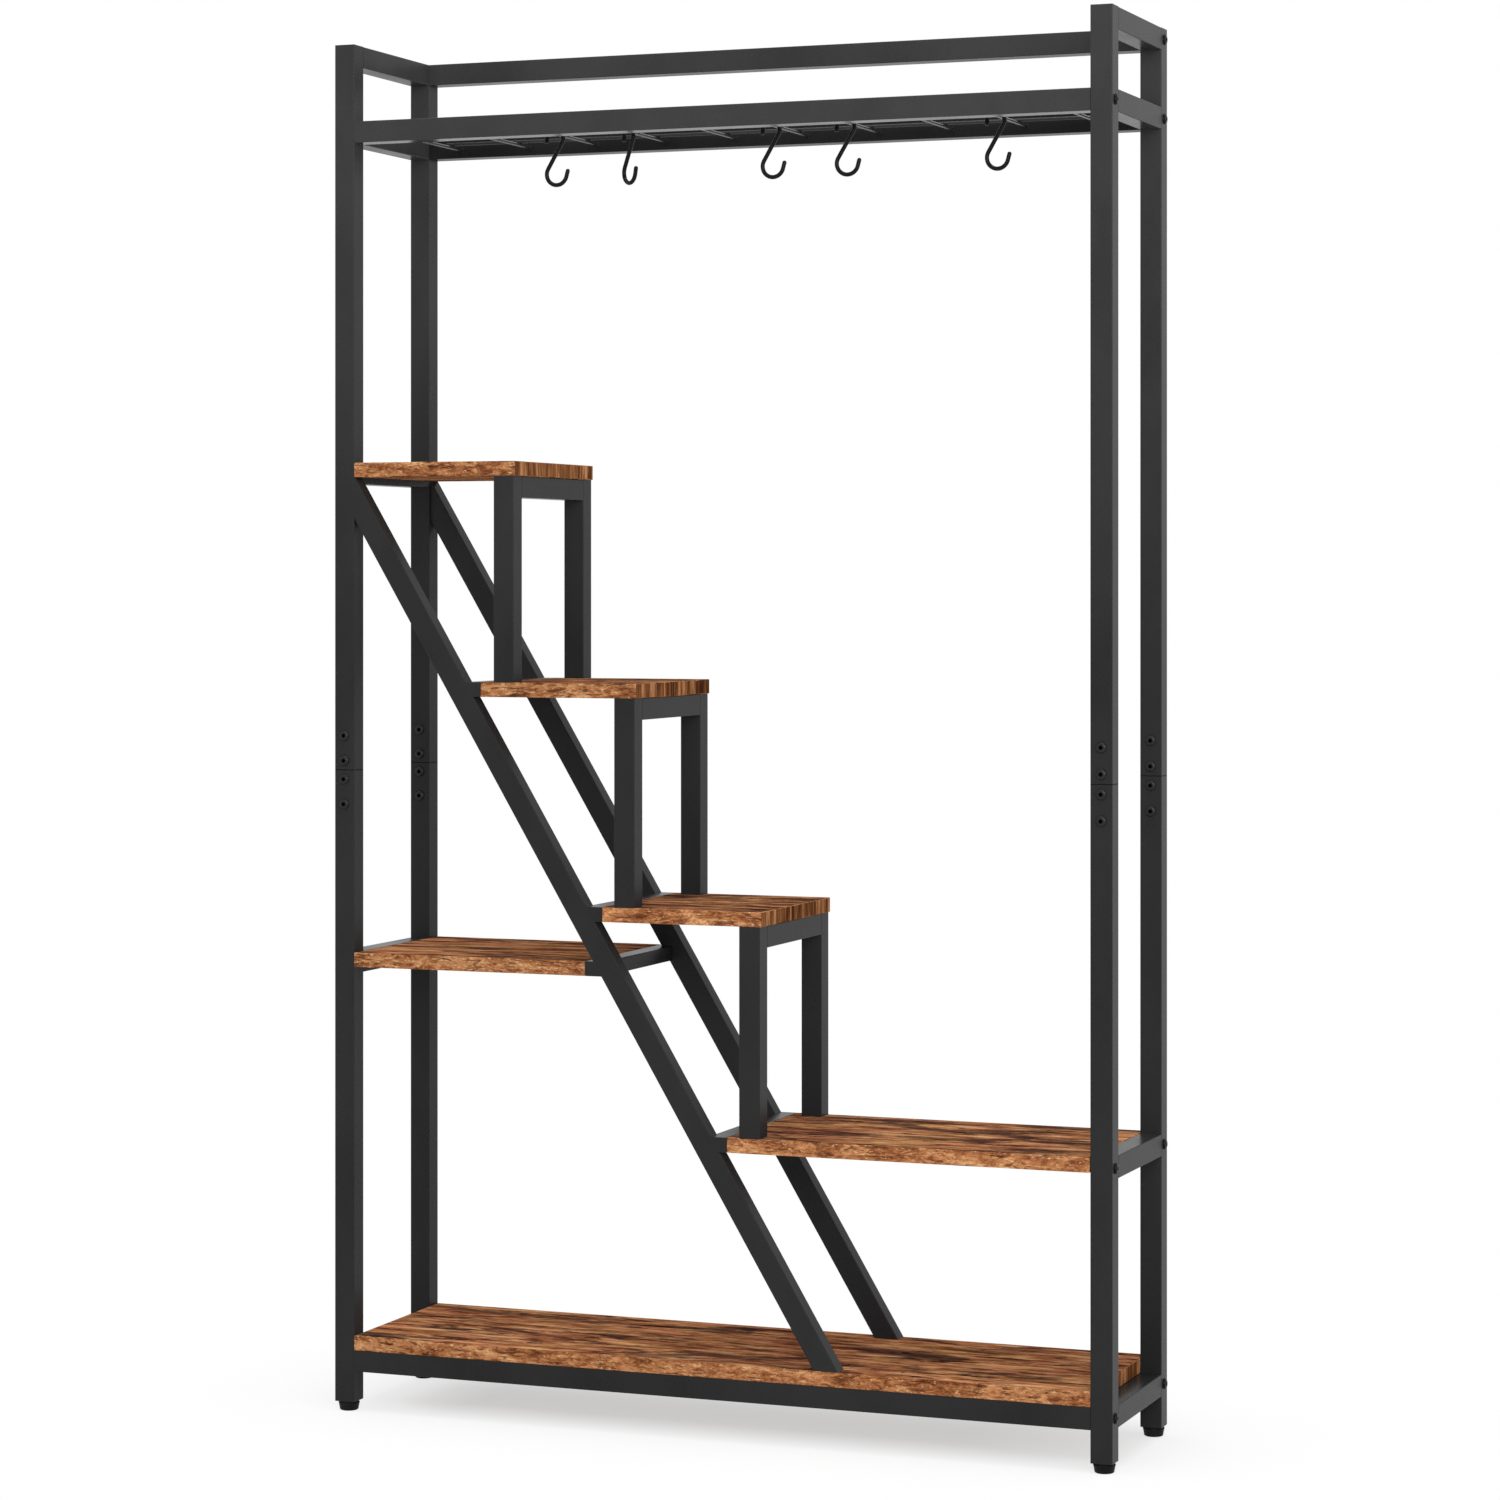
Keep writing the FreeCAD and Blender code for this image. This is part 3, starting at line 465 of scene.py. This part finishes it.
def cross_ring(reach, half_width):
    """Outline of a cross recess."""
    def radius(angle):
        from_arm = abs((angle + math.pi / 4) % (math.pi / 2) - math.pi / 4)
        if math.tan(from_arm) <= half_width / reach:
            return reach / math.cos(from_arm)
        return half_width / math.sin(from_arm)
    return radius


def arc_rings(centre_radius, centre_height, radius, start, end, steps):
    """Rings along a rounded corner of a turned profile."""
    rings = []
    for step in range(steps + 1):
        angle = math.radians(start + (end - start) * step / steps)
        outline = round_ring(centre_radius + radius * math.cos(angle))
        rings.append((centre_height + radius * math.sin(angle), outline))
    return rings


def around(radius, angle, height):
    """Point at a radius, an angle and a height round the Z axis."""
    return Vector((radius * math.cos(angle), radius * math.sin(angle), height))


def closed_faces(ring_count, segments, flip=False):
    """Quads between rings of points and a cap on each end, turned inside out by a flip."""
    faces = []
    for ring in range(ring_count - 1):
        low = ring * segments
        high = low + segments
        for step in range(segments):
            after = (step + 1) % segments
            if flip:
                faces.append((low + step, high + step, high + after, low + after))
            else:
                faces.append((low + step, low + after, high + after, high + step))
    first_cap = range(segments)
    last_cap = range((ring_count - 1) * segments, ring_count * segments)
    faces.append(tuple(first_cap if flip else reversed(first_cap)))
    faces.append(tuple(reversed(last_cap) if flip else last_cap))
    return faces


def turned(rings, placement, segments=SEGMENTS):
    """Points and faces of a closed turned solid, from rings of height and outline."""
    points = []
    for height, outline in rings:
        for step in range(segments):
            angle = 2 * math.pi * step / segments
            points.append(placement @ around(outline(angle), angle, height))
    return points, closed_faces(len(rings), segments)


def make_piece(name, solids, material, smooth_angle=35, socket_ring=None):
    """Mesh object from one or more lists of points and faces, with painted shade from the socket
    ring on.
    """
    points = []
    faces = []
    socket_faces = []
    for solid_points, solid_faces in solids:
        start = len(points)
        points.extend(solid_points)
        if socket_ring is not None:
            first = len(faces) + socket_ring * SEGMENTS
            last_cap = len(faces) + len(solid_faces) - 1
            socket_faces.extend(range(first, last_cap - 1))
            socket_faces.append(last_cap)
        faces.extend([tuple(start + index for index in face) for face in solid_faces])
    mesh = bpy.data.meshes.new(name)
    mesh.from_pydata(points, [], faces)
    mesh.materials.append(material)
    if socket_faces:
        # The socket's faces take the painted shade.
        mesh.materials.append(SOCKET_PAINTED_SHADE)
        for index in socket_faces:
            mesh.polygons[index].material_index = 1
    mesh.shade_smooth()
    mesh.set_sharp_from_angle(angle=math.radians(smooth_angle))
    mesh.update()
    piece = bpy.data.objects.new(name, mesh)
    bpy.context.scene.collection.objects.link(piece)
    return piece


def facing(position, direction):
    """Placement with local +Z along a direction."""
    turn = Vector(direction).to_track_quat("Z", "Y").to_matrix().to_4x4()
    return Matrix.Translation(position) @ turn


# Bolts and screws, on the places of the CAD solids that they replace

HEAD_HEIGHT = 0.003
SUNK_DEPTH = 0.0022

# Number of the first ring of a button head's hex socket
BUTTON_SOCKET_RING = 15


def button_head_rings(shank_length):
    """Shank, broad domed head with a rolled rim, and hex socket, from the tip outwards."""
    return [
        (-shank_length, round_ring(0.0022)),
        (-shank_length + 0.0008, round_ring(0.0030)),
        (-0.0004, round_ring(0.0030)),
        (0.0, round_ring(0.0056)),
        *arc_rings(0.0059, 0.0005, 0.0005, -90, 0, 4),
        (0.0010, round_ring(0.00638)),
        (0.0017, round_ring(0.00610)),
        (0.0023, round_ring(0.00560)),
        (0.0027, round_ring(0.00490)),
        (0.00295, round_ring(0.00420)),
        (0.0030, round_ring(0.00340)),
        (0.00297, hex_ring(0.00236)),
        (0.00280, hex_ring(0.00222)),
        (0.00090, hex_ring(0.00218)),
        (0.00070, round_ring(0.00120)),
        (0.00060, round_ring(0.00020)),
    ]


def countersunk_rings(shank_length):
    """Wood screw with a countersunk head and a cross recess, from the tip outwards."""
    return [
        (-shank_length, round_ring(0.0003)),
        (-shank_length + 0.0050, round_ring(0.0018)),
        (-SUNK_DEPTH, round_ring(0.0020)),
        (-0.00025, round_ring(0.00395)),
        (-0.00005, round_ring(0.00398)),
        (-0.00002, round_ring(0.00380)),
        (-0.00002, cross_ring(0.0022, 0.00058)),
        (-0.00020, cross_ring(0.0021, 0.00048)),
        (-0.00150, cross_ring(0.0012, 0.00030)),
        (-0.00170, round_ring(0.00010)),
    ]


def solid_boxes(node_name):
    """Low and high corner of every separate solid of a CAD node."""
    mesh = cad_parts[node_name].data
    parent = list(range(len(mesh.vertices)))

    def root(index):
        while parent[index] != index:
            parent[index] = parent[parent[index]]
            index = parent[index]
        return index

    seen = {}
    for vertex in mesh.vertices:
        key = tuple(round(value, 6) for value in vertex.co)
        if key in seen:
            parent[root(vertex.index)] = root(seen[key])
        seen[key] = vertex.index
    for edge in mesh.edges:
        parent[root(edge.vertices[0])] = root(edge.vertices[1])
    groups = {}
    for vertex in mesh.vertices:
        groups.setdefault(root(vertex.index), []).append(vertex.co)
    boxes = []
    for members in groups.values():
        low = Vector([min(co[axis] for co in members) for axis in range(3)])
        high = Vector([max(co[axis] for co in members) for axis in range(3)])
        boxes.append((low, high))
    boxes.sort(key=lambda box: tuple(round(value, 5) for value in box[0]))
    return boxes


side_bolt_solids = []
for low, high in solid_boxes("side_bolts"):
    middle = (low + high) / 2
    if middle.x < 0:
        seat, way = Vector((low.x + HEAD_HEIGHT, middle.y, middle.z)), (-1, 0, 0)
    else:
        seat, way = Vector((high.x - HEAD_HEIGHT, middle.y, middle.z)), (1, 0, 0)
    rings = button_head_rings(high.x - low.x - HEAD_HEIGHT)
    side_bolt_solids.append(turned(rings, facing(seat, way)))
side_bolt_set = make_piece("side_bolt_set", side_bolt_solids, BOLT_STEEL_PAINTED_SHADE,
                           socket_ring=BUTTON_SOCKET_RING)

seam_screw_solids = []
for low, high in solid_boxes("seam_screws"):
    middle = (low + high) / 2
    seat = Vector((middle.x, low.y + HEAD_HEIGHT, middle.z))
    rings = button_head_rings(high.y - low.y - HEAD_HEIGHT)
    seam_screw_solids.append(turned(rings, facing(seat, (0, -1, 0))))
seam_screw_set = make_piece("seam_screw_set", seam_screw_solids, SCREW_STEEL,
                            socket_ring=BUTTON_SOCKET_RING)

underside_solids = []
for low, high in solid_boxes("underside_screws"):
    middle = (low + high) / 2
    seat = Vector((middle.x, middle.y, low.z))
    underside_solids.append(turned(countersunk_rings(high.z - low.z), facing(seat, (0, 0, -1))))
underside_screw_set = make_piece("underside_screw_set", underside_solids, PLATED_STEEL)

for piece, node_name, slot in (
    (side_bolt_set, "side_bolts", "bolt_steel"),
    (seam_screw_set, "seam_screws", "bolt_steel"),
    (underside_screw_set, "underside_screws", "plated_steel"),
):
    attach(piece, "frame")
    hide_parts(node_name)


# Levelling feet: rounded pad, collar and threaded stud

PAD_TOP_Z = 0.0117
STUD_START_Z = 0.0114
STUD_TOP_Z = PAD_TOP_Z + 0.030
STUD_RADIUS = 0.00398
STUD_SEGMENTS = 36
THREAD_PITCH = 0.00125
THREAD_DEPTH = 0.0006
STEPS_PER_TURN = 8
TIP_LENGTH = 0.0012
TIP_SHARE = 0.86


def foot_rings():
    """Pad and collar from the ground up."""
    return [
        (0.0006, round_ring(0.0002)),
        (0.0006, round_ring(0.0082)),
        (0.0000, round_ring(0.0089)),
        *arc_rings(0.0096, 0.0020, 0.0020, -90, -12, 7),
        (0.0050, round_ring(0.01215)),
        (0.0076, round_ring(0.01270)),
        *arc_rings(0.0124, 0.0093, 0.0008, -5, 90, 6),
        (0.0101, round_ring(0.01195)),
        (0.0105, round_ring(0.01195)),
        *arc_rings(0.0115, 0.0112, 0.0005, 0, 90, 4),
        (PAD_TOP_Z, round_ring(0.0043)),
        (PAD_TOP_Z, round_ring(0.0002)),
    ]


def threaded_stud(placement):
    """Closed rod with one helical groove of V section and a tapered tip."""
    length = STUD_TOP_Z - STUD_START_Z
    count = int(length / THREAD_PITCH * STEPS_PER_TURN)
    points = []
    for step in range(count + 1):
        height = STUD_START_Z + length * step / count
        fade = min(1.0, (STUD_TOP_Z - height) / TIP_LENGTH)
        for index in range(STUD_SEGMENTS):
            phase = (height / THREAD_PITCH - index / STUD_SEGMENTS) % 1.0
            reach = STUD_RADIUS - THREAD_DEPTH * abs(2 * phase - 1)
            reach *= TIP_SHARE + (1 - TIP_SHARE) * fade
            points.append(placement @ around(reach, 2 * math.pi * index / STUD_SEGMENTS, height))
    return points, closed_faces(count + 1, STUD_SEGMENTS)


for side, x in SIDE_CENTRES.items():
    for plane, y in PLANE_CENTRES.items():
        body = side + "_" + plane + "_foot"
        ground = Matrix.Translation((x, y, 0))
        pad = make_piece(body + "_pad", [turned(foot_rings(), ground)], FOOT_PLASTIC)
        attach(pad, body)
        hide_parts(body)
        stud = make_piece(body + "_stud", [threaded_stud(ground)], PLATED_STEEL, smooth_angle=60)
        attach(stud, body)


# S-hooks: round wire swept along each hook's centre line, with rounded tips

# Radius of the wire, and its air over the cross wire
HOOK_WIRE = 0.0026
HOOK_SEAT_GAP = 0.0003

# Radii of the two bends to the middle of the wire, how far the hook reaches below the cross
# wire's middle, and how far the lower bend stands aside
HOOK_UPPER = 0.011
HOOK_LOWER = 0.0134
HOOK_REACH = 0.0663
HOOK_SHIFT = 0.0024

# Straight tails, the lower one leaning outwards
HOOK_UPPER_TAIL = 0.006
HOOK_LOWER_TAIL = 0.010
HOOK_FLARE = math.radians(15)

BEND_STEPS = 30
TAIL_STEPS = 4
TIP_STEPS = 6

# In wire radii: radius at the very end of a tip, and length that a tip keeps free
TIP_END_SHARE = 0.05
TIP_ROOM = 1.02

# Each hook's cross wire by number from the left, turn about the vertical in degrees, and
# distance from the front
HOOK_PLACES = [(3, 0, 0.080), (4, -36, 0.090), (6, 0, 0.085), (7, 3, 0.088), (9, -2, 0.088)]


def hook_line():
    """Centre line of a hook in its own XZ plane, the cross wire at the origin."""
    crown = WIRE_RADIUS + HOOK_SEAT_GAP + HOOK_WIRE
    upper = Vector((0, 0, crown - HOOK_UPPER))
    lower = Vector((HOOK_SHIFT, 0, HOOK_LOWER + HOOK_WIRE - HOOK_REACH))
    between = lower - upper
    lean = math.atan2(between.z, between.x)
    lean += math.acos((HOOK_UPPER + HOOK_LOWER) / between.length)

    def on(centre, radius, angle):
        return centre + Vector((radius * math.cos(angle), 0, radius * math.sin(angle)))

    def bend(centre, radius, start, sweep):
        return [on(centre, radius, start + sweep * step / BEND_STEPS)
                for step in range(BEND_STEPS + 1)]

    upper_end = on(upper, HOOK_UPPER, math.pi)
    lower_end = on(lower, HOOK_LOWER, -HOOK_FLARE)
    away = on(Vector((0, 0, 0)), 1.0, math.pi / 2 - HOOK_FLARE)
    line = []
    for step in range(TAIL_STEPS):
        line.append(upper_end - Vector((0, 0, HOOK_UPPER_TAIL * (1 - step / TAIL_STEPS))))
    line += bend(upper, HOOK_UPPER, math.pi, lean - math.pi)
    line += bend(lower, HOOK_LOWER, lean + math.pi, math.pi - HOOK_FLARE - lean)
    for step in range(TAIL_STEPS):
        line.append(lower_end + away * HOOK_LOWER_TAIL * (step + 1) / TAIL_STEPS)
    return line


def swept(line, radius, placement, segments=28):
    """Round wire along a line in the XZ plane, with half-round tips inside its length."""
    total = [0.0]
    for first, second in zip(line, line[1:]):
        total.append(total[-1] + (second - first).length)

    def at(distance):
        """Point and direction of the line at a distance from its start."""
        distance = min(max(distance, 0.0), total[-1])
        index = max(i for i in range(len(total)) if total[i] <= distance + 1e-12)
        index = min(index, len(line) - 2)
        share = (distance - total[index]) / (total[index + 1] - total[index])
        tangent = (line[index + 1] - line[index]).normalized()
        return line[index].lerp(line[index + 1], share), tangent

    tip = [(0.0, radius * TIP_END_SHARE)]
    for step in range(1, TIP_STEPS + 1):
        angle = math.pi / 2 * step / TIP_STEPS
        tip.append((radius * (1 - math.cos(angle)), radius * math.sin(angle)))
    room = radius * TIP_ROOM
    inner = [(distance, radius) for distance in total if room < distance < total[-1] - room]
    rings = tip + inner + [(total[-1] - distance, size) for distance, size in reversed(tip)]
    side = Vector((0, 1, 0))
    points = []
    for distance, size in rings:
        middle, tangent = at(distance)
        out = tangent.cross(side)
        for index in range(segments):
            angle = 2 * math.pi * index / segments
            spoke = side * size * math.cos(angle) + out * size * math.sin(angle)
            points.append(placement @ (middle + spoke))
    return points, closed_faces(len(rings), segments, flip=True)


for number, (wire_number, yaw, setback) in enumerate(HOOK_PLACES, 1):
    body = "hook_" + str(number)
    place = Matrix.Translation((CROSS_WIRE_XS[wire_number - 1], FRONT_Y + setback, CROSS_WIRE_Z))
    place = place @ Matrix.Rotation(math.radians(yaw), 4, "Z")
    hook_solid = swept(hook_line(), HOOK_WIRE, place)
    wire = make_piece(body + "_wire", [hook_solid], HOOK_STEEL, smooth_angle=80)
    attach(wire, body)
    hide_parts(body)


# Grid wires: smooth round rods, the long ones with rounded ends

WIRE_SEGMENTS = 40
WIRE_NOSE = 0.0008
LONG_WIRE_START = CROSS_WIRE_XS[0] - LONG_WIRE_OVERHANG
LONG_WIRE_LENGTH = CROSS_WIRE_XS[-1] + LONG_WIRE_OVERHANG - LONG_WIRE_START


def square_rod(length):
    """Rod with flat ends."""
    return [(0.0, round_ring(WIRE_RADIUS)), (length, round_ring(WIRE_RADIUS))]


def rounded_rod(length):
    """Rod with softly rounded ends."""
    nose = arc_rings(WIRE_RADIUS - WIRE_NOSE, 0, WIRE_NOSE, 90, 0, 4)
    start = [(WIRE_NOSE - rise, outline) for rise, outline in nose]
    end = [(length - WIRE_NOSE + rise, outline) for rise, outline in reversed(nose)]
    return start + end


cross_solids = []
for x in CROSS_WIRE_XS:
    placement = facing(Vector((x, INNER_FRONT_Y, CROSS_WIRE_Z)), (0, 1, 0))
    cross_solids.append(turned(square_rod(INNER_DEPTH), placement, WIRE_SEGMENTS))
long_solids = []
for y in LONG_WIRE_YS:
    placement = facing(Vector((LONG_WIRE_START, y, LONG_WIRE_Z)), (1, 0, 0))
    long_solids.append(turned(rounded_rod(LONG_WIRE_LENGTH), placement, WIRE_SEGMENTS))
for name, solids, node_name in (
    ("cross_wire_set", cross_solids, "grid_cross_wires"),
    ("long_wire_set", long_solids, "grid_long_wires"),
):
    wires = make_piece(name, solids, WIRE_PAINT, smooth_angle=50)
    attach(wires, "frame")
    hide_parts(node_name)


# Weld spots where the grid's wires cross and where they meet the rails

WELD_SEGMENTS = 20
WELD_STEPS = 6
WELD_CROWN_RADIUS = 0.00005
WELD_SINK = 0.0008
WIRE_WELD = {"width": 0.0031, "height": 0.0016}
RAIL_WELD = {"width": 0.0036, "height": 0.0018}
WIRE_WELD_Z = (CROSS_WIRE_Z + LONG_WIRE_Z) / 2 - WELD_SINK

# Waves round a weld's outline: how many, how high, and how far the seed turns them
WELD_WAVES = ((3, 0.07, 1.0), (5, 0.05, 2.3))


def weld_spot(centre, direction, seed, width, height):
    """Low uneven dome on a flat foot, its outline varied by a seed."""
    def outline(size):
        return lambda turn: size * (1 + sum(rise * math.sin(count * turn + shift * seed)
                                            for count, rise, shift in WELD_WAVES))

    rings = []
    for step in range(WELD_STEPS + 1):
        angle = math.pi / 2 * step / WELD_STEPS
        size = width * math.cos(angle) + WELD_CROWN_RADIUS
        rings.append((height * math.sin(angle), outline(size)))
    return turned(rings, facing(centre, direction), WELD_SEGMENTS)


weld_solids = []
for column, x in enumerate(CROSS_WIRE_XS):
    for row, y in enumerate(LONG_WIRE_YS):
        seed = column * 1.7 + row * 2.9
        weld_solids.append(weld_spot(Vector((x, y, WIRE_WELD_Z)), (0, 0, 1), seed, **WIRE_WELD))
    for y, way in ((INNER_FRONT_Y, (0, 1, 0)), (INNER_REAR_Y, (0, -1, 0))):
        seed = column * 1.3 + y
        weld_solids.append(weld_spot(Vector((x, y, CROSS_WIRE_Z)), way, seed, **RAIL_WELD))
# The weld spots take the darker coat with painted shade.
grid_welds = make_piece("grid_welds", weld_solids, PAINTED_SHADE_STEEL, smooth_angle=60)
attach(grid_welds, "frame")


# Floor

FLOOR_REACH = 30.0

# Painted light: edges past which the floor's white glow for the camera grows over the rack's
# shadow, in metres, and how much a metre past each one counts
LEFT_EDGE, LEFT_WEIGHT = -0.36, 0.70
RIGHT_EDGE, RIGHT_WEIGHT = 0.28, 0.25
FRONT_EDGE, FRONT_WEIGHT = -0.02, 1.0
REAR_EDGE, REAR_WEIGHT = REAR_Y, 1.0

# Share of white glow by the distance past the edges; under the rack it paints light into the shadow
WHITENESS = ((0.0, 0.535), (0.04, 0.615), (0.07, 0.73), (0.10, 0.785), (0.16, 0.88), (0.30, 1.0))


def floor_material():
    """Pale floor that keeps shadows, with a white glow for the camera that paints light into them
    near the rack and turns the floor white away from it.
    """
    g = material_graph("pale_floor")
    mottle = g.noise((3, 3, 3), detail=3.0)
    diffuse = g.add("ShaderNodeBsdfDiffuse")
    g.join(g.ramp(mottle, [(0.3, grey(0.86)), (0.7, grey(0.90))]), diffuse.inputs["Color"])
    white = g.add("ShaderNodeEmission")
    white.inputs["Color"].default_value = (1.0, 1.0, 1.0, 1.0)
    white.inputs["Strength"].default_value = 1.0
    x, y, _ = g.axes("Object")

    def past(place, edge, way, weight):
        return g.level(place, edge, edge + way, 0.0, weight)

    beside = g.math("MAXIMUM", past(x, LEFT_EDGE, -1, LEFT_WEIGHT),
                    past(x, RIGHT_EDGE, 1, RIGHT_WEIGHT))
    before = g.math("MAXIMUM", past(y, FRONT_EDGE, -1, FRONT_WEIGHT),
                    past(y, REAR_EDGE, 1, REAR_WEIGHT))
    away = g.math("SQRT", g.blend(beside, beside, before, before))
    far = g.ramp(away, [(distance, grey(level)) for distance, level in WHITENESS])
    mix = g.add("ShaderNodeMixShader")
    g.join(g.math("MULTIPLY", g.seen_directly(), far), mix.inputs[0])
    g.join(diffuse.outputs[0], mix.inputs[1])
    g.join(white.outputs[0], mix.inputs[2])
    g.join(mix.outputs[0], g.output.inputs["Surface"])
    return g.owner


floor_corners = [(x * FLOOR_REACH, y * FLOOR_REACH, 0)
                 for x, y in ((-1, -1), (1, -1), (1, 1), (-1, 1))]
floor_mesh = bpy.data.meshes.new("floor_sheet")
floor_mesh.from_pydata(floor_corners, [], [(0, 1, 2, 3)])
floor_mesh.materials.append(floor_material())
floor = bpy.data.objects.new("floor_sheet", floor_mesh)
bpy.context.scene.collection.objects.link(floor)


# Surroundings: an even soft light, seen as white

AMBIENT = 0.55


def background(g, strength):
    """White light of one strength from all round."""
    node = g.add("ShaderNodeBackground")
    node.inputs["Color"].default_value = (1.0, 1.0, 1.0, 1.0)
    node.inputs["Strength"].default_value = strength
    return node.outputs[0]


world = bpy.data.worlds.new("studio")
bpy.context.scene.world = world
world_graph = Graph(world, "ShaderNodeOutputWorld")
world_mix = world_graph.add("ShaderNodeMixShader")
world_graph.join(world_graph.seen_directly(), world_mix.inputs[0])
world_graph.join(background(world_graph, AMBIENT), world_mix.inputs[1])
world_graph.join(background(world_graph, 1.0), world_mix.inputs[2])
world_graph.join(world_mix.outputs[0], world_graph.output.inputs["Surface"])

# Soft square lamps: name, place, what it looks at, side in metres and power in watts
LAMPS = (
    ("overhead_lamp", (0.5, -0.9, 8.0), (0.0, 0.0, 0.6), 5.2, 300),
    ("right_lamp", (4.2, -2.0, 2.6), (0.0, 0.0, 0.8), 2.4, 40),
    ("front_lamp", (2.4, -5.0, 2.4), (0.0, 0.0, 0.8), 2.8, 150),
)
for name, position, target, size, power in LAMPS:
    data = bpy.data.lights.new(name, "AREA")
    data.size = size
    data.energy = power
    lamp = bpy.data.objects.new(name, data)
    lamp.location = position
    lamp.rotation_euler = (Vector(target) - Vector(position)).to_track_quat("-Z", "Y").to_euler()
    bpy.context.scene.collection.objects.link(lamp)


# Camera at the photograph's place: level, turned to the left, with the picture shifted down

CAMERA_PLACE = (1.7683, -4.5520, 1.0325)
CAMERA_HEADING = math.radians(21.154)

camera_data = bpy.data.cameras.new("photo_camera")
camera_data.sensor_width = 36.0
camera_data.lens = 95.74
camera_data.shift_y = -0.1141
camera_data.clip_end = 200.0
camera = bpy.data.objects.new("photo_camera", camera_data)
camera.location = CAMERA_PLACE
camera.rotation_euler = (math.radians(90), 0, CAMERA_HEADING)
bpy.context.scene.collection.objects.link(camera)
bpy.context.scene.camera = camera

bpy.context.scene.view_settings.view_transform = "Standard"
